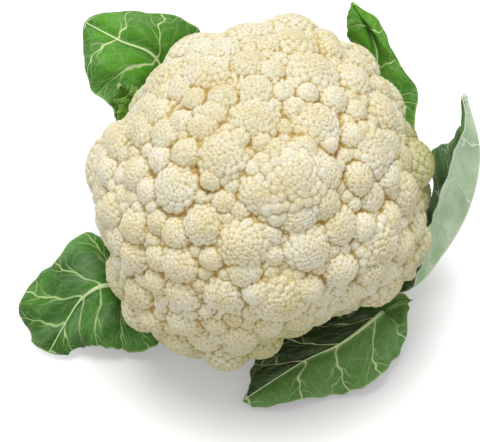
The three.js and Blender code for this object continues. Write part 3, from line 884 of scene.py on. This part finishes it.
    def part_of(self, floret: Floret) -> Part:
        """Choose the piece that a floret is made in."""
        if floret.latitude > 42:
            return Part.CROWN
        quarter = round((floret.azimuth + 90) / 90) % 4
        return (Part.FRONT, Part.RIGHT, Part.BACK, Part.LEFT)[quarter]

    def clusters_of(self, floret: Floret, seed: int) -> list[Cluster]:
        """Give every ball that a floret's surface is the outside of.

        Args:
            floret: The floret.
            seed: Picks the floret's own small differences.

        Returns:
            The floret's dome with its buds, and then the knobs of each larger bud.
        """
        stream = np.random.default_rng(seed)
        ball = self.flatness * floret.radius
        centres, radii = self.buds.balls(floret.direction, floret.centre, ball, floret.radius, stream)
        dome = Cluster(floret.centre, 1.5 * floret.radius, np.vstack([floret.centre, centres]),
                       np.append(ball - 0.3 - 0.05 * floret.radius, radii))
        clusters = [dome]
        for centre, radius in zip(centres, radii):
            if radius > 2.4:
                axis = centre - floret.centre
                axis = axis / np.linalg.norm(axis)
                clusters.append(Cluster(centre, 1.3 * radius,
                                        *self.knobs.balls(axis, centre, radius, radius, stream)))
        return clusters

    def floor_reach(self, rays: np.ndarray) -> np.ndarray:
        """Give how far out the flesh between the florets lies, with the stems below."""
        down = np.maximum(-rays[:, 2], 1e-6)
        lumps = self.floor_lumps * np.abs(waves(rays * 90, 3.6, 41))
        floor = self.head_reach(rays) - self.floor_depth + lumps
        return np.minimum(floor, (self.underside_depth + 0.2) / down)

    def stem_balls(self) -> tuple[np.ndarray, np.ndarray]:
        """Give the balls along the stems that carry the lowest florets."""
        centres, radii = [], []
        for floret in self.florets:
            if floret.latitude > -14:
                continue
            outward = floret.direction * np.array([1, 1, 0])
            start = outward / np.linalg.norm(outward) * 20 + np.array([0, 0, 11 - self.underside_depth])
            for share in np.linspace(0, 1, 14):
                centres.append(start + (floret.centre * 0.92 - start) * share)
                radii.append(9.0 + (0.75 * floret.radius - 9.0) * share)
        return np.array(centres), np.array(radii)

    def reaches(self, rays: np.ndarray) -> tuple[np.ndarray, np.ndarray, np.ndarray]:
        """Measure how far out the curd's surface lies.

        Args:
            rays: Unit directions from the curd's centre, one a row.

        Returns:
            The length in each direction, the number of the floret there, and how far from that
            floret's crown it is as a share of the floret's radius.
        """
        place = rays * 90
        bent = rays + self.unevenness / 90 * np.stack(
            [waves(place, 7.0, seed) for seed in (31, 32, 33)], axis=1)
        bent = (bent / np.linalg.norm(bent, axis=1)[:, None]).astype(np.float32)
        far = np.zeros(len(rays), np.float32)
        owner = np.full(len(rays), -1)
        for number, floret in enumerate(self.florets):
            near = np.flatnonzero(bent @ floret.direction.astype(np.float32)
                                  > math.cos(1.5 * floret.radius / 88))
            if not len(near):
                continue
            mine = bent[near]
            reach = np.zeros(len(near), np.float32)
            for cluster in self.clusters_of(floret, number):
                cluster.push_out(mine, reach)
            better = reach > far[near]
            far[near[better]] = reach[better]
            owner[near[better]] = number
        directions = np.array([f.direction for f in self.florets])
        sizes = np.array([f.radius for f in self.florets])
        stray = np.flatnonzero((owner < 0) & (rays[:, 2] > -0.66))
        if len(stray):
            apart = np.arccos(np.clip(rays[stray] @ directions.T, -1, 1)) * 88 / sizes
            owner[stray] = apart.argmin(axis=1)
        low = np.flatnonzero(rays[:, 2] < -0.1)
        stems = np.zeros(len(rays))
        if len(low):
            stems[low] = ball_reach(rays[low], *self.stem_balls())
        far = np.maximum(far, np.maximum(self.floor_reach(rays), stems))
        steep = np.hypot(rays[:, 0], rays[:, 1]) * self.underside_depth < -rays[:, 2] * self.underside_radius
        far[steep] = (self.underside_depth + 0.2) / -rays[steep, 2]
        mine = np.maximum(owner, 0)
        along = np.clip((rays * directions[mine]).sum(axis=1), -1, 1)
        crown = np.arccos(along) * 88 / sizes[mine]
        return far, owner, crown

    def shade(self, rays: np.ndarray) -> np.ndarray:
        """Give the painted shade: darker and greener under the curd and where the leaves cast their shadows on
        it.

        Args:
            rays: Unit directions from the curd's centre, one a row.

        Returns:
            A share for each direction.
        """
        # painted shade on the underside, then the painted shadows of the leaves
        total = 0.5 * smoothstep(-rays[:, 2], 0.1, 0.6)
        for azimuth, latitude, spread, strength in self.painted_shadows:
            apart = np.degrees(np.arccos(np.clip(rays @ direction_at(azimuth, latitude), -1, 1)))
            total = np.maximum(total, strength * np.exp(-(apart / spread) ** 2))
        return total

    def ball_for(self, part: Part) -> bpy.types.Mesh:
        """Make the stretch of an even ball that a piece needs, with a margin round it.

        Args:
            part: Which of the curd's pieces.

        Returns:
            A mesh of unit radius, open at its border.
        """
        ball = bmesh.new()
        bmesh.ops.create_icosphere(ball, subdivisions=1, radius=1.0)
        bmesh.ops.subdivide_edges(ball, edges=ball.edges[:], cuts=self.coarse_cuts, use_grid_fill=True)
        middles = np.array([f.calc_center_median().normalized()[:] for f in ball.faces])
        if part is Part.UNDERSIDE:
            needed = middles[:, 2] < -0.45
        else:
            needed = np.zeros(len(middles), bool)
            for floret in self.florets:
                if self.part_of(floret) is part:
                    needed |= middles @ floret.direction > math.cos(1.5 * floret.radius / 88 + 0.09)
        spare = [f for f, keep in zip(ball.faces, needed) if not keep]
        bmesh.ops.delete(ball, geom=spare, context="FACES")
        bmesh.ops.subdivide_edges(ball, edges=ball.edges[:], cuts=self.fine_cuts, use_grid_fill=True)
        mesh = bpy.data.meshes.new(part.value)
        ball.to_mesh(mesh)
        ball.free()
        return mesh

    def build_part(self, part: Part) -> bpy.types.Object:
        """Make one piece of the curd, closed towards the curd's centre.

        Args:
            part: Which of the curd's pieces.

        Returns:
            The piece.
        """
        mesh = self.ball_for(part)
        rays = mesh_points(mesh)
        rays /= np.linalg.norm(rays, axis=1)[:, None]
        far, owner, crown = self.reaches(rays)
        links = np.empty(2 * len(mesh.edges), dtype=np.int32)
        mesh.edges.foreach_get("vertices", links)
        links = links.reshape(-1, 2)
        soft, softer = smoothed(far, links, 3), smoothed(far, links, 45)
        # masks of the painted shade: creases between buds, clefts between florets and hollows below the outer
        # form
        store(mesh, "crease", np.clip((soft - far) / 0.4, 0, 1))
        store(mesh, "cleft_shade", np.clip((softer - far) / 2.2, 0, 1))
        store(mesh, "hollow", np.clip((self.head_reach(rays) - far - 2) / 11, 0, 1))
        store(mesh, "crown", crown)
        store(mesh, "tint", (owner * GOLDEN_ANGLE) % 1.0)
        store(mesh, "painted_shade", self.shade(rays))
        parts = [self.part_of(f) for f in self.florets]
        mine = np.array([parts[number] is part if number >= 0 else part is Part.UNDERSIDE
                         for number in owner])
        store(mesh, "mine", mine.astype(float))
        place_points(mesh, rays * far[:, None] + self.centre)
        self.close_part(mesh)
        return finish_piece(part.value, mesh, self.finish, "curd")

    def close_part(self, mesh: bpy.types.Mesh) -> None:
        """Cut off what another piece has and close the rest towards the curd's centre."""
        body = bmesh.new()
        body.from_mesh(mesh)
        mine = body.verts.layers.float["mine"]
        bmesh.ops.delete(body, geom=[f for f in body.faces if f.verts[0][mine] < 0.5], context="FACES")
        border = [e for e in body.edges if e.is_boundary]
        for edge in border:
            edge.smooth = False
        drawn = bmesh.ops.extrude_edge_only(body, edges=border)
        inner = [g for g in drawn["geom"] if isinstance(g, bmesh.types.BMVert)]
        bmesh.ops.pointmerge(body, verts=inner, merge_co=Vector(self.centre * MM))
        body.to_mesh(mesh)
        body.free()
        mesh.attributes.remove(mesh.attributes["mine"])

    def build(self) -> list[bpy.types.Object]:
        """Make all of the curd's pieces.

        Returns:
            The pieces.
        """
        return [self.build_part(part) for part in Part]


@dataclass(frozen=True)
class Stub:
    """The stub of an outer leaf that was trimmed off."""

    azimuth: float
    height: float
    length: float
    width: float


@dataclass
class Stalk:
    """The cut stalk below the curd, with the stubs of trimmed leaves."""

    grain: GrainGroup
    profile: Sequence[tuple[float, float]] = (
        (21.5, 0), (23, 1.5), (24, 8), (25, 16), (27, 26), (31, 33), (32, 35.7),
    )
    stubs: Sequence[Stub] = (Stub(88, 14, 17, 19), Stub(168, 12, 16, 18), Stub(242, 13, 18, 20),
                             Stub(296, 12, 15, 18))
    stub_depth: float = 8.5
    steps: int = 96

    @classmethod
    def radius_at(cls, height: np.ndarray) -> np.ndarray:
        """Give the stalk's radius at a height."""
        radii, heights = zip(*cls.profile)
        return np.interp(height, heights, radii)

    def build(self) -> bpy.types.Object:
        """Make the stalk.

        Returns:
            The piece.
        """
        whole = bmesh.new()
        cut = whole.verts.layers.float.new("cut")
        rim = whole.verts.layers.float.new("rim")
        self.add_body(whole, cut, rim)
        for stub in self.stubs:
            self.add_stub(whole, stub)
        mesh = bpy.data.meshes.new("stalk_body")
        whole.to_mesh(mesh)
        whole.free()
        points = mesh_points(mesh)
        round_way = points / np.maximum(np.linalg.norm(points[:, :2], axis=1), 1)[:, None]
        round_way[:, 2] = 0
        lumps = 0.5 * waves(points * np.array([1, 1, 0.3]), 6.0, 11) * (points[:, 2] > 0.5)
        place_points(mesh, points + round_way * (lumps - 0.3)[:, None])
        return finish_piece("stalk_body", mesh, StalkFinish().material(self.grain), "stalk")

    def add_body(self, whole: bmesh.types.BMesh, cut: object, rim: object) -> None:
        """Spin the stalk's profile, closed at the cut and at the top.

        Args:
            whole: The mesh that it joins.
            cut: The layer that marks the cut face.
            rim: The layer that gives how near the cut's rim a vertex lies.
        """
        rows = [(r, 0.0) for r in (4, 8, 12, 15, 18, 20)]
        heights = [0.0, 0.5, 1.5, 3, 5, 8, 11, 14, 17, 20, 23, 26, 28.5, 31, 33, 35.7]
        rows += [(float(self.radius_at(h)), h) for h in heights]
        rows += [(r, 35.7) for r in (24, 12)]
        verts = [whole.verts.new((r, 0, h)) for r, h in rows]
        edges = [whole.edges.new(pair) for pair in zip(verts, verts[1:])]
        bmesh.ops.spin(whole, geom=verts + edges, cent=(0, 0, 0), axis=(0, 0, 1),
                       angle=2 * math.pi, steps=self.steps, use_merge=True)
        bmesh.ops.remove_doubles(whole, verts=whole.verts[:], dist=1e-4)
        ends = [e for e in whole.edges if e.is_boundary]
        bmesh.ops.holes_fill(whole, edges=ends, sides=0)
        bmesh.ops.recalc_face_normals(whole, faces=whole.faces[:])
        for vert in whole.verts:
            vert[cut] = 1.0 if vert.co.z < 0.1 else 0.0
            vert[rim] = vert.co.xy.length / 21.5

    def add_stub(self, whole: bmesh.types.BMesh, stub: Stub) -> None:
        """Add one stub as a flattened bar with a cut end.

        Args:
            whole: The mesh that it joins.
            stub: The stub.
        """
        bar = bmesh.new()
        cut, rim = (bar.verts.layers.float.new(name) for name in ("cut", "rim"))
        run = stub.length + 6
        bmesh.ops.create_cone(bar, cap_ends=True, segments=40, radius1=1.0, radius2=1.0, depth=run)
        long_edges = [e for e in bar.edges if abs(e.verts[0].co.z - e.verts[1].co.z) > 1]
        bmesh.ops.subdivide_edges(bar, edges=long_edges, cuts=10)
        end = max(bar.faces, key=lambda f: f.calc_center_median().z)
        for thickness in (0.06, 0.14, 0.26, 0.26):
            bmesh.ops.inset_region(bar, faces=[end], thickness=thickness)
        for vert in bar.verts:
            vert[rim] = vert.co.xy.length
            vert[cut] = 1.0 if vert.co.z > run / 2 - 0.01 and vert.co.xy.length < 0.97 else 0.0
        bmesh.ops.scale(bar, verts=bar.verts[:], vec=(self.stub_depth / 2, stub.width / 2, 1))
        place = (Matrix.Rotation(math.radians(stub.azimuth), 4, "Z")
                 @ Matrix.Translation((19 + run / 2, 0, stub.height)) @ Matrix.Rotation(math.pi / 2, 4, "Y"))
        bmesh.ops.transform(bar, matrix=place, verts=bar.verts[:])
        mesh = bpy.data.meshes.new("stub")
        bar.to_mesh(mesh)
        bar.free()
        whole.from_mesh(mesh)
        bpy.data.meshes.remove(mesh)


class Side(enum.Enum):
    """The halves of a leaf, as seen from its foot."""

    LEFT = -1
    RIGHT = 1


@dataclass(frozen=True)
class Half:
    """One half of a leaf: how far it bulges, and its margin's ruffle."""

    bulge: float
    height: float
    turns: float
    phase: float


@dataclass(frozen=True)
class Station:
    """A point of the midrib with its two margins; on the stem a margin is only a distance."""

    mid: tuple[float, float, float]
    left: tuple[float, float, float] | float
    right: tuple[float, float, float] | float


class Track:
    """A smooth curve through points, run through evenly from 0 to 1."""

    def __init__(self, points: np.ndarray) -> None:
        """Take the points and add one before the first and one after the last."""
        before = 2 * points[0] - points[1]
        after = 2 * points[-1] - points[-2]
        self.points = np.vstack([before, points, after])
        self.spans = len(points) - 1

    def at(self, share: np.ndarray) -> np.ndarray:
        """Give the curve's points at shares of its length."""
        run = np.clip(share, 0, 1) * self.spans
        first = np.minimum(run.astype(int), self.spans - 1)
        x = (run - first)[:, None]
        p0, p1, p2, p3 = (self.points[first + i] for i in range(4))
        t0, t1 = (p2 - p0) / 2, (p3 - p1) / 2
        return p1 + x * (t0 + x * ((-3 * p1 + 3 * p2 - 2 * t0 - t1) + x * (2 * p1 - 2 * p2 + t0 + t1)))

    def tangent(self, share: np.ndarray) -> np.ndarray:
        """Give the curve's unit directions at shares of its length."""
        run = self.at(np.clip(share + 1e-4, 0, 1)) - self.at(np.clip(share - 1e-4, 0, 1))
        return run / np.linalg.norm(run, axis=1)[:, None]


@dataclass
class LeafForm:
    """A leaf, from its foot on the stalk to its tip."""

    PETIOLE_END = 0.3
    RIB_SPAN = 0.16
    VEINS = 6

    name: str
    # the midrib's half width and its depth at the foot
    rib: tuple[float, float]
    # how far the side veins lean towards the tip, as a share of the leaf
    slant: float
    left: Half
    right: Half
    stations: Sequence[Station]
    finish: LeafFinish
    seed: int
    rows: int = 128
    columns: int = 64
    thickness: float = 0.9
    puff: float = 1.2
    stalk_gap: float = 0.4

    def __post_init__(self) -> None:
        """Draw the midrib and the margins."""
        last = len(self.stations) - 1
        self.spine = Track(np.array([s.mid for s in self.stations], float))
        self.margins = {}
        for side, given in ((Side.LEFT, [s.left for s in self.stations]),
                            (Side.RIGHT, [s.right for s in self.stations])):
            points = []
            for i, (station, margin) in enumerate(zip(self.stations, given)):
                if isinstance(margin, tuple):
                    points.append(margin)
                    continue
                tangent = self.spine.tangent(np.array([i / last]))[0]
                across = np.cross(tangent, (0, 0, 1))
                across /= np.linalg.norm(across)
                points.append(np.array(station.mid) + side.value * margin * across)
            self.margins[side] = Track(np.array(points, float))

    def middle(self, across: np.ndarray, row: np.ndarray) -> tuple[np.ndarray, np.ndarray, np.ndarray]:
        """Place points of the leaf's middle surface.

        Args:
            across: From -1 at the left margin to 1 at the right.
            row: From 0 at the foot to 1 at the tip.

        Returns:
            The points, their distance to the side, and their share of the rib's half width.
        """
        points = np.zeros((len(row), 3))
        aside = np.zeros(len(row))
        within = np.clip(np.abs(across) / self.RIB_SPAN, 0, 1)
        for side, half in ((Side.LEFT, self.left), (Side.RIGHT, self.right)):
            mine = across <= 0 if side is Side.LEFT else across > 0
            r, a, w = row[mine], np.abs(across[mine]), within[mine]
            share = np.maximum(a - self.RIB_SPAN, 0) / (1 - self.RIB_SPAN)
            blade = np.clip((r - self.PETIOLE_END) / (1 - self.PETIOLE_END), 0, 1)
            t = r - self.slant * np.sin(np.pi * blade) * (1 - share) * (1 - 0.4 * blade)
            mid = self.spine.at(t)
            out = self.margins[side].at(r) - mid
            width = np.linalg.norm(out, axis=1)
            out = out / width[:, None]
            normal = np.cross(out, self.spine.tangent(t)) * side.value
            normal /= np.linalg.norm(normal, axis=1)[:, None]
            rib = self.rib[0] * (1 - 0.85 * t)
            away = w * rib + (np.maximum(width - rib, 1) + self.teeth(r, blade, side)) * share
            height = self.relief(half, share, blade, away, r)
            points[mine] = mid + out * away[:, None] + normal * height[:, None]
            aside[mine] = side.value * away
        return points, aside, within

    def teeth(self, row: np.ndarray, blade: np.ndarray, side: Side) -> np.ndarray:
        """Give how far the margin's shallow teeth stand out."""
        place = np.stack([row * 160, np.full(len(row), side.value * 40.0)], axis=1)
        notch = np.abs(np.sin(np.pi * 11 * blade + side.value + self.seed))
        lobes = 1.5 * waves(place, 17, self.seed) + 0.5 * waves(place, 5, self.seed + 5)
        return (0.6 * (1 - notch ** 2) - 0.9 + lobes) * (blade > 0)

    def relief(self, half: Half, share: np.ndarray, blade: np.ndarray, away: np.ndarray,
               row: np.ndarray) -> np.ndarray:
        """Give how far the blade swells, ruffles and puckers out of its plain surface."""
        inside = smoothstep(blade, 0, 0.15) * (1 - 0.6 * smoothstep(blade, 0.85, 1))
        ruffle = half.height * share ** 1.6 * np.sin(2 * np.pi * half.turns * blade + half.phase)
        puffed = self.puff * np.abs(np.sin(np.pi * self.VEINS * blade)) * np.sin(np.pi * share ** 0.7)
        bulge = half.bulge * 4 * share * (1 - share)
        place = np.stack([away, row * 150], axis=1)
        pucker = share ** 0.5 * (1.1 * waves(place, 13, self.seed + 1) + 0.3 * waves(place, 4, self.seed + 2))
        crimp = 1.1 * share ** 3 * waves(place, 10, self.seed + 3)
        return inside * (ruffle + puffed + bulge + pucker + crimp)

    def surface(self, mesh: bpy.types.Mesh) -> None:
        """Move the shell's flat vertices to the leaf's form and keep what its material reads."""
        flat = mesh_points(mesh)
        columns, column = np.unique(np.round(flat[:, 0], 5), return_inverse=True)
        rows, line = np.unique(np.round(flat[:, 1], 5), return_inverse=True)
        grid_across, grid_row = np.meshgrid(columns, (rows + 1) / 2)
        points, aside, within = self.middle(grid_across.ravel(), grid_row.ravel())
        shape = (len(rows), len(columns))
        sheet = points.reshape(*shape, 3)
        normal = np.cross(np.gradient(sheet, axis=1), np.gradient(sheet, axis=0))
        normal /= np.linalg.norm(normal, axis=2)[..., None]
        share = np.maximum(np.abs(grid_across) - self.RIB_SPAN, 0) / (1 - self.RIB_SPAN)
        blade = (grid_row - self.PETIOLE_END) / (1 - self.PETIOLE_END)
        apart = np.abs((blade * self.VEINS + 0.5) % 1 - 0.5) / self.VEINS * self.blade_length
        ridge = 0.55 * (1 - share) * np.exp(-(apart / 1.1) ** 2) * (blade > 0) * (share > 0)
        keel = (1 - np.clip(np.abs(grid_across) / self.RIB_SPAN, 0, 1) ** 2) ** 0.6
        depth = self.rib[1] * (1 - 0.9 * grid_row)
        half = self.thickness / 2 * (1 - 0.35 * share)
        top = sheet + normal * (half + 0.22 * keel * depth)[..., None]
        bottom = sheet - normal * (half + keel * depth + ridge)[..., None]
        is_top = flat[:, 2] > 0.5
        placed = np.where(is_top[:, None], top[line, column], bottom[line, column])
        near_foot = grid_row[line, column] < 0.12
        radius = np.linalg.norm(placed[:, :2], axis=1)
        least = Stalk.radius_at(placed[:, 2]) + self.stalk_gap
        foot = grid_row[line, column] < 1e-6
        scale = np.where(foot, least / radius, np.where(near_foot, np.maximum(least / radius, 1), 1))
        placed[:, :2] *= scale[:, None]
        place_points(mesh, placed)
        run = np.concatenate([[0], np.cumsum(np.linalg.norm(np.diff(
            self.spine.at(np.linspace(0, 1, 400)), axis=0), axis=1))])
        along = np.interp(grid_row, np.linspace(0, 1, 400), run)
        store(mesh, "sheet", np.stack([aside.reshape(shape)[line, column], along[line, column],
                                       np.zeros(len(flat))], axis=1))
        store(mesh, "face", is_top.astype(float))
        store(mesh, "margin", np.abs(grid_across[line, column]))
        corners = np.empty(len(mesh.loops), dtype=np.int32)
        mesh.loops.foreach_get("vertex_index", corners)
        uv = np.stack([(grid_across[line, column] + 1) / 2, grid_row[line, column]], axis=1)[corners]
        mesh.uv_layers.new(name=LEAF_UV).data.foreach_set("uv", uv.astype(np.float32).ravel())

    @property
    def blade_length(self) -> float:
        """Give the blade's length along its midrib."""
        points = self.spine.at(np.linspace(self.PETIOLE_END, 1, 200))
        return float(np.linalg.norm(np.diff(points, axis=0), axis=1).sum())

    def build(self, veins: VeinGroup) -> bpy.types.Object:
        """Make the leaf as a closed shell.

        Args:
            veins: The shared group of leaf veins.

        Returns:
            The piece.
        """
        shell = bmesh.new()
        bmesh.ops.create_grid(shell, x_segments=self.columns, y_segments=self.rows, size=1.0)
        raised = bmesh.ops.extrude_face_region(shell, geom=shell.faces[:], use_keep_orig=True)
        upper = [g for g in raised["geom"] if isinstance(g, bmesh.types.BMVert)]
        bmesh.ops.translate(shell, verts=upper, vec=(0, 0, 1))
        bmesh.ops.recalc_face_normals(shell, faces=shell.faces[:])
        mesh = bpy.data.meshes.new(self.name)
        shell.to_mesh(mesh)
        shell.free()
        self.surface(mesh)
        material = self.finish.material(veins, self.blade_length)
        return finish_piece(f"{self.name}_blade", mesh, material, self.name)


def leaves() -> list[LeafForm]:
    """List the six leaves.

    Returns:
        The leaves, back to front.
    """
    return [
        LeafForm("leaf_back_left", (5.5, 5), 0.15, Half(3, 2, 2.5, 0.4), Half(3, 2.5, 3, 2), [
            Station((-14.6, 21.4, 20), 7, 7),
            Station((-26, 43, 11), 7, 7),
            Station((-38, 68, 17), (-52, 60, 22), (-22, 74, 22)),
            Station((-46, 88, 46), (-77, 71, 50), (-14, 102, 55)),
            Station((-55, 96, 86), (-81, 70, 72), (-31, 109.5, 98)),
            Station((-75.5, 101, 96), (-91.5, 79, 84), (-60.5, 118.5, 104)),
            Station((-96.5, 115.5, 97), (-97, 106, 92), (-89.5, 119, 99)),
        ], LeafFinish("leaf_bright", green=linear(80, 152, 10), dark=linear(52, 116, 8),
                      pale=linear(212, 230, 172), bloom_and_sheen=0.08, foot=linear(206, 226, 166)), 3),
        LeafForm("leaf_back_left_small", (2.6, 2.4), 0.1, Half(1, 1, 2, 0), Half(1, 1, 2, 1), [
            Station((-19, 17, 26), 3, 3),
            Station((-36, 32, 17.5), 3, 3),
            Station((-53, 48, 22), 4, 4),
            Station((-64, 60, 45), (-70, 54, 46), (-58, 66, 46)),
            Station((-65.5, 68.5, 76), (-75, 59, 75), (-59, 77, 78)),
            Station((-70.5, 69, 84), (-77.5, 62, 83), (-65, 73, 86)),
            Station((-75, 68.5, 94), (-76.5, 66.5, 92.5), (-73, 69.5, 94)),
        ], LeafFinish("leaf_young", green=linear(112, 172, 16), dark=linear(72, 128, 8), yellow=0.3,
                      bloom_and_sheen=0.04), 14,
            rows=96, columns=36),
        LeafForm("leaf_back_right", (5.5, 5), 0.14, Half(2, 2, 2.5, 1), Half(4, 4, 3, 0.5), [
            Station((13.6, 21.8, 20), 7, 7),
            Station((25, 41, 11), 7, 7),
            Station((42, 66, 18), (28, 73, 24), (56, 56, 24)),
            Station((59, 80, 52), (34, 96, 56), (90, 55, 60)),
            Station((69, 87.5, 88), (54, 100, 90), (89.5, 62.5, 84)),
            Station((64.5, 101.5, 104), (51, 96, 106), (77, 94.5, 101)),
            Station((54.5, 109, 118), (52, 102, 117), (58, 107.5, 118)),
        ], LeafFinish("leaf_fresh", green=linear(82, 150, 12), dark=linear(54, 116, 10),
                      pale=linear(206, 226, 160), bloom_and_sheen=0.04), 25),
        LeafForm("leaf_right", (5.5, 5), 0.12, Half(4, 2, 2, 0), Half(3, 2, 2.6, 2.4), [
            Station((26, 2, 20), 6.5, 6.5),
            Station((52, -2, 10.5), 7, 7),
            Station((84, -9, 14), (80, 8, 18), (78, -22, 21)),
            Station((102, -3, 36), (97, 25, 42), (91, -13.5, 44)),
            Station((114, 3.5, 66), (98.5, 33.5, 75), (93, -9.5, 74)),
            Station((117, 12.5, 100), (107, 30, 96), (102.5, -2.5, 112)),
            Station((107.5, 22, 134), (108.5, 20.5, 131), (106.5, 18.5, 133)),
        # the underside's real pale wax, made paler still as painted light on the face turned away from the
        # lamp
        ], LeafFinish("leaf_glaucous_painted_light", green=linear(84, 140, 56), dark=linear(34, 72, 20),
                      pale=linear(240, 250, 232), under=linear(220, 242, 208), mottle=0.45,
                      foot=linear(214, 232, 196)), 36),
        LeafForm("leaf_front", (5.5, 5), 0.14, Half(2, 4, 3, 3.8), Half(0, 1.5, 2, 0), [
            Station((21.5, -15, 20), 6.5, 6.5),
            Station((43, -26, 10.5), 7, 7),
            Station((66, -30, 14), (82, -25, 26), (50, -36, 18)),
            Station((68, -37, 24), (84, -44, 19), (49, -37, 23)),
            Station((47, -53.5, 20), (67, -68, 8), (27, -38, 15)),
            Station((26, -61.5, 14), (36, -79.5, 6), (4, -52, 11)),
            Station((-6.5, -80.5, 5), (0.5, -85, 4), (-4, -76.5, 6)),
        # painted shade and light: this leaf's greens and its rib's foot are darkened for the curd's shadow
        # over it, and its left half is lightened
        ], LeafFinish("leaf_front_painted_light_and_shade", green=linear(30, 62, 10), dark=linear(14, 34, 6),
                      painted_light_half=linear(98, 152, 64), pale=linear(214, 230, 176), foot=linear(86, 122, 44)), 47),
        LeafForm("leaf_left", (5.5, 5), 0.14, Half(3, 2, 2.5, 0), Half(4, 2.5, 2.5, 2), [
            Station((-24, -8.5, 20), 7, 7),
            Station((-45, -16, 10.5), 7, 7),
            Station((-64, -21, 16), (-52.5, -47, 10), (-76, 8, 27)),
            Station((-79, -25, 34), (-69, -50, 7), (-90, 6, 39)),
            Station((-92.5, -30.5, 31), (-85.5, -49, 12), (-114.5, -8, 32)),
            Station((-102.5, -37.5, 18), (-95.5, -49, 7), (-128.5, -26.5, 18)),
            Station((-112.5, -48.5, 4), (-105.5, -49.5, 4), (-123.5, -42, 6)),
        ], LeafFinish("leaf_grey_green", green=linear(66, 128, 30), dark=linear(36, 86, 16),
                      pale=linear(182, 208, 138), bloom_and_sheen=0.2), 58),
    ]


@dataclass
class Studio:
    """The pale floor, the soft light and the camera at the photograph's angle."""

    eye: tuple[float, float, float] = (-7.94, -558.9, 724.6)
    elevation: float = 50.0
    focal_length: float = 120.5
    floor_size: float = 12.0
    floor_grey: Colour = (0.56, 0.56, 0.56)
    floor_roughness: float = 0.8
    key_from: tuple[float, float, float] = (-0.12, 0.1, 1.0)
    key_spread: float = 30.0
    key_strength: float = 1.75
    sky: float = 0.68
    sky_colour: Colour = (1.0, 0.995, 0.98)
    # painted shade: the floor's own glow for the camera, weaker under the object than far from it, which
    # paints a shadow round the object, and the distances in metres between
    floor_glow: tuple[float, float] = (0.28, 0.8)
    floor_reach: tuple[float, float] = (0.085, 0.15)

    def build(self) -> None:
        """Set up floor, light and camera."""
        self.add_floor()
        self.add_sun()
        self.add_sky()
        self.add_camera()
        bpy.context.scene.view_settings.view_transform = "Standard"
        LOG.info("studio: floor, lamp, sky and camera")

    def add_floor(self) -> None:
        """Lay the floor."""
        floor = bmesh.new()
        bmesh.ops.create_grid(floor, x_segments=1, y_segments=1, size=self.floor_size / 2)
        mesh = bpy.data.meshes.new("floor")
        floor.to_mesh(mesh)
        floor.free()
        material, g, shader = new_material("floor")
        shader.inputs["Base Color"].default_value = (*self.floor_grey, 1)
        shader.inputs["Emission Color"].default_value = (1, 1, 1, 1)
        # painted light and shade: the floor glows for the camera only, less near the object
        seen = g.node("LightPath").outputs["Is Camera Ray"]
        apart = g.node("VectorMath", operation="LENGTH")
        g.feed(apart.inputs[0], g.object_place())
        glow = g.step(apart.outputs["Value"], *self.floor_reach, *self.floor_glow)
        g.feed(shader.inputs["Emission Strength"], g.math("MULTIPLY", seen, glow))
        shader.inputs["Roughness"].default_value = self.floor_roughness
        mesh.materials.append(material)
        stage = bpy.data.objects.new("floor", mesh)
        bpy.context.scene.collection.objects.link(stage)

    def add_sun(self) -> None:
        """Hang one broad, soft lamp above and a little behind the object."""
        lamp = bpy.data.lights.new("key", "SUN")
        lamp.angle = math.radians(self.key_spread)
        lamp.energy = self.key_strength
        made = bpy.data.objects.new("key", lamp)
        made.rotation_euler = Vector(self.key_from).to_track_quat("Z", "Y").to_euler()
        bpy.context.scene.collection.objects.link(made)

    def add_sky(self) -> None:
        """Light the scene evenly from all round."""
        world = bpy.data.worlds.new("sky")
        world.use_nodes = True
        world.node_tree.nodes["Background"].inputs["Color"].default_value = (*self.sky_colour, 1)
        world.node_tree.nodes["Background"].inputs["Strength"].default_value = self.sky
        bpy.context.scene.world = world

    def add_camera(self) -> None:
        """Stand the camera where the photograph was taken from."""
        camera = bpy.data.cameras.new("camera")
        camera.sensor_width = 36.0
        camera.sensor_fit = "HORIZONTAL"
        camera.lens = self.focal_length
        camera.clip_start = 0.01
        made = bpy.data.objects.new("camera", camera)
        made.location = [c * MM for c in self.eye]
        made.rotation_euler = (math.radians(90 - self.elevation), 0, 0)
        bpy.context.scene.collection.objects.link(made)
        bpy.context.scene.camera = made


def main() -> None:
    """Build the cauliflower and its studio."""
    logging.basicConfig(level=logging.INFO, format="%(name)s: %(message)s")
    Studio().build()
    grain, veins = GrainGroup(), VeinGroup()
    Curd(grain).build()
    Stalk(grain).build()
    for leaf in leaves():
        leaf.build(veins)


if __name__ == "__main__":
    main()
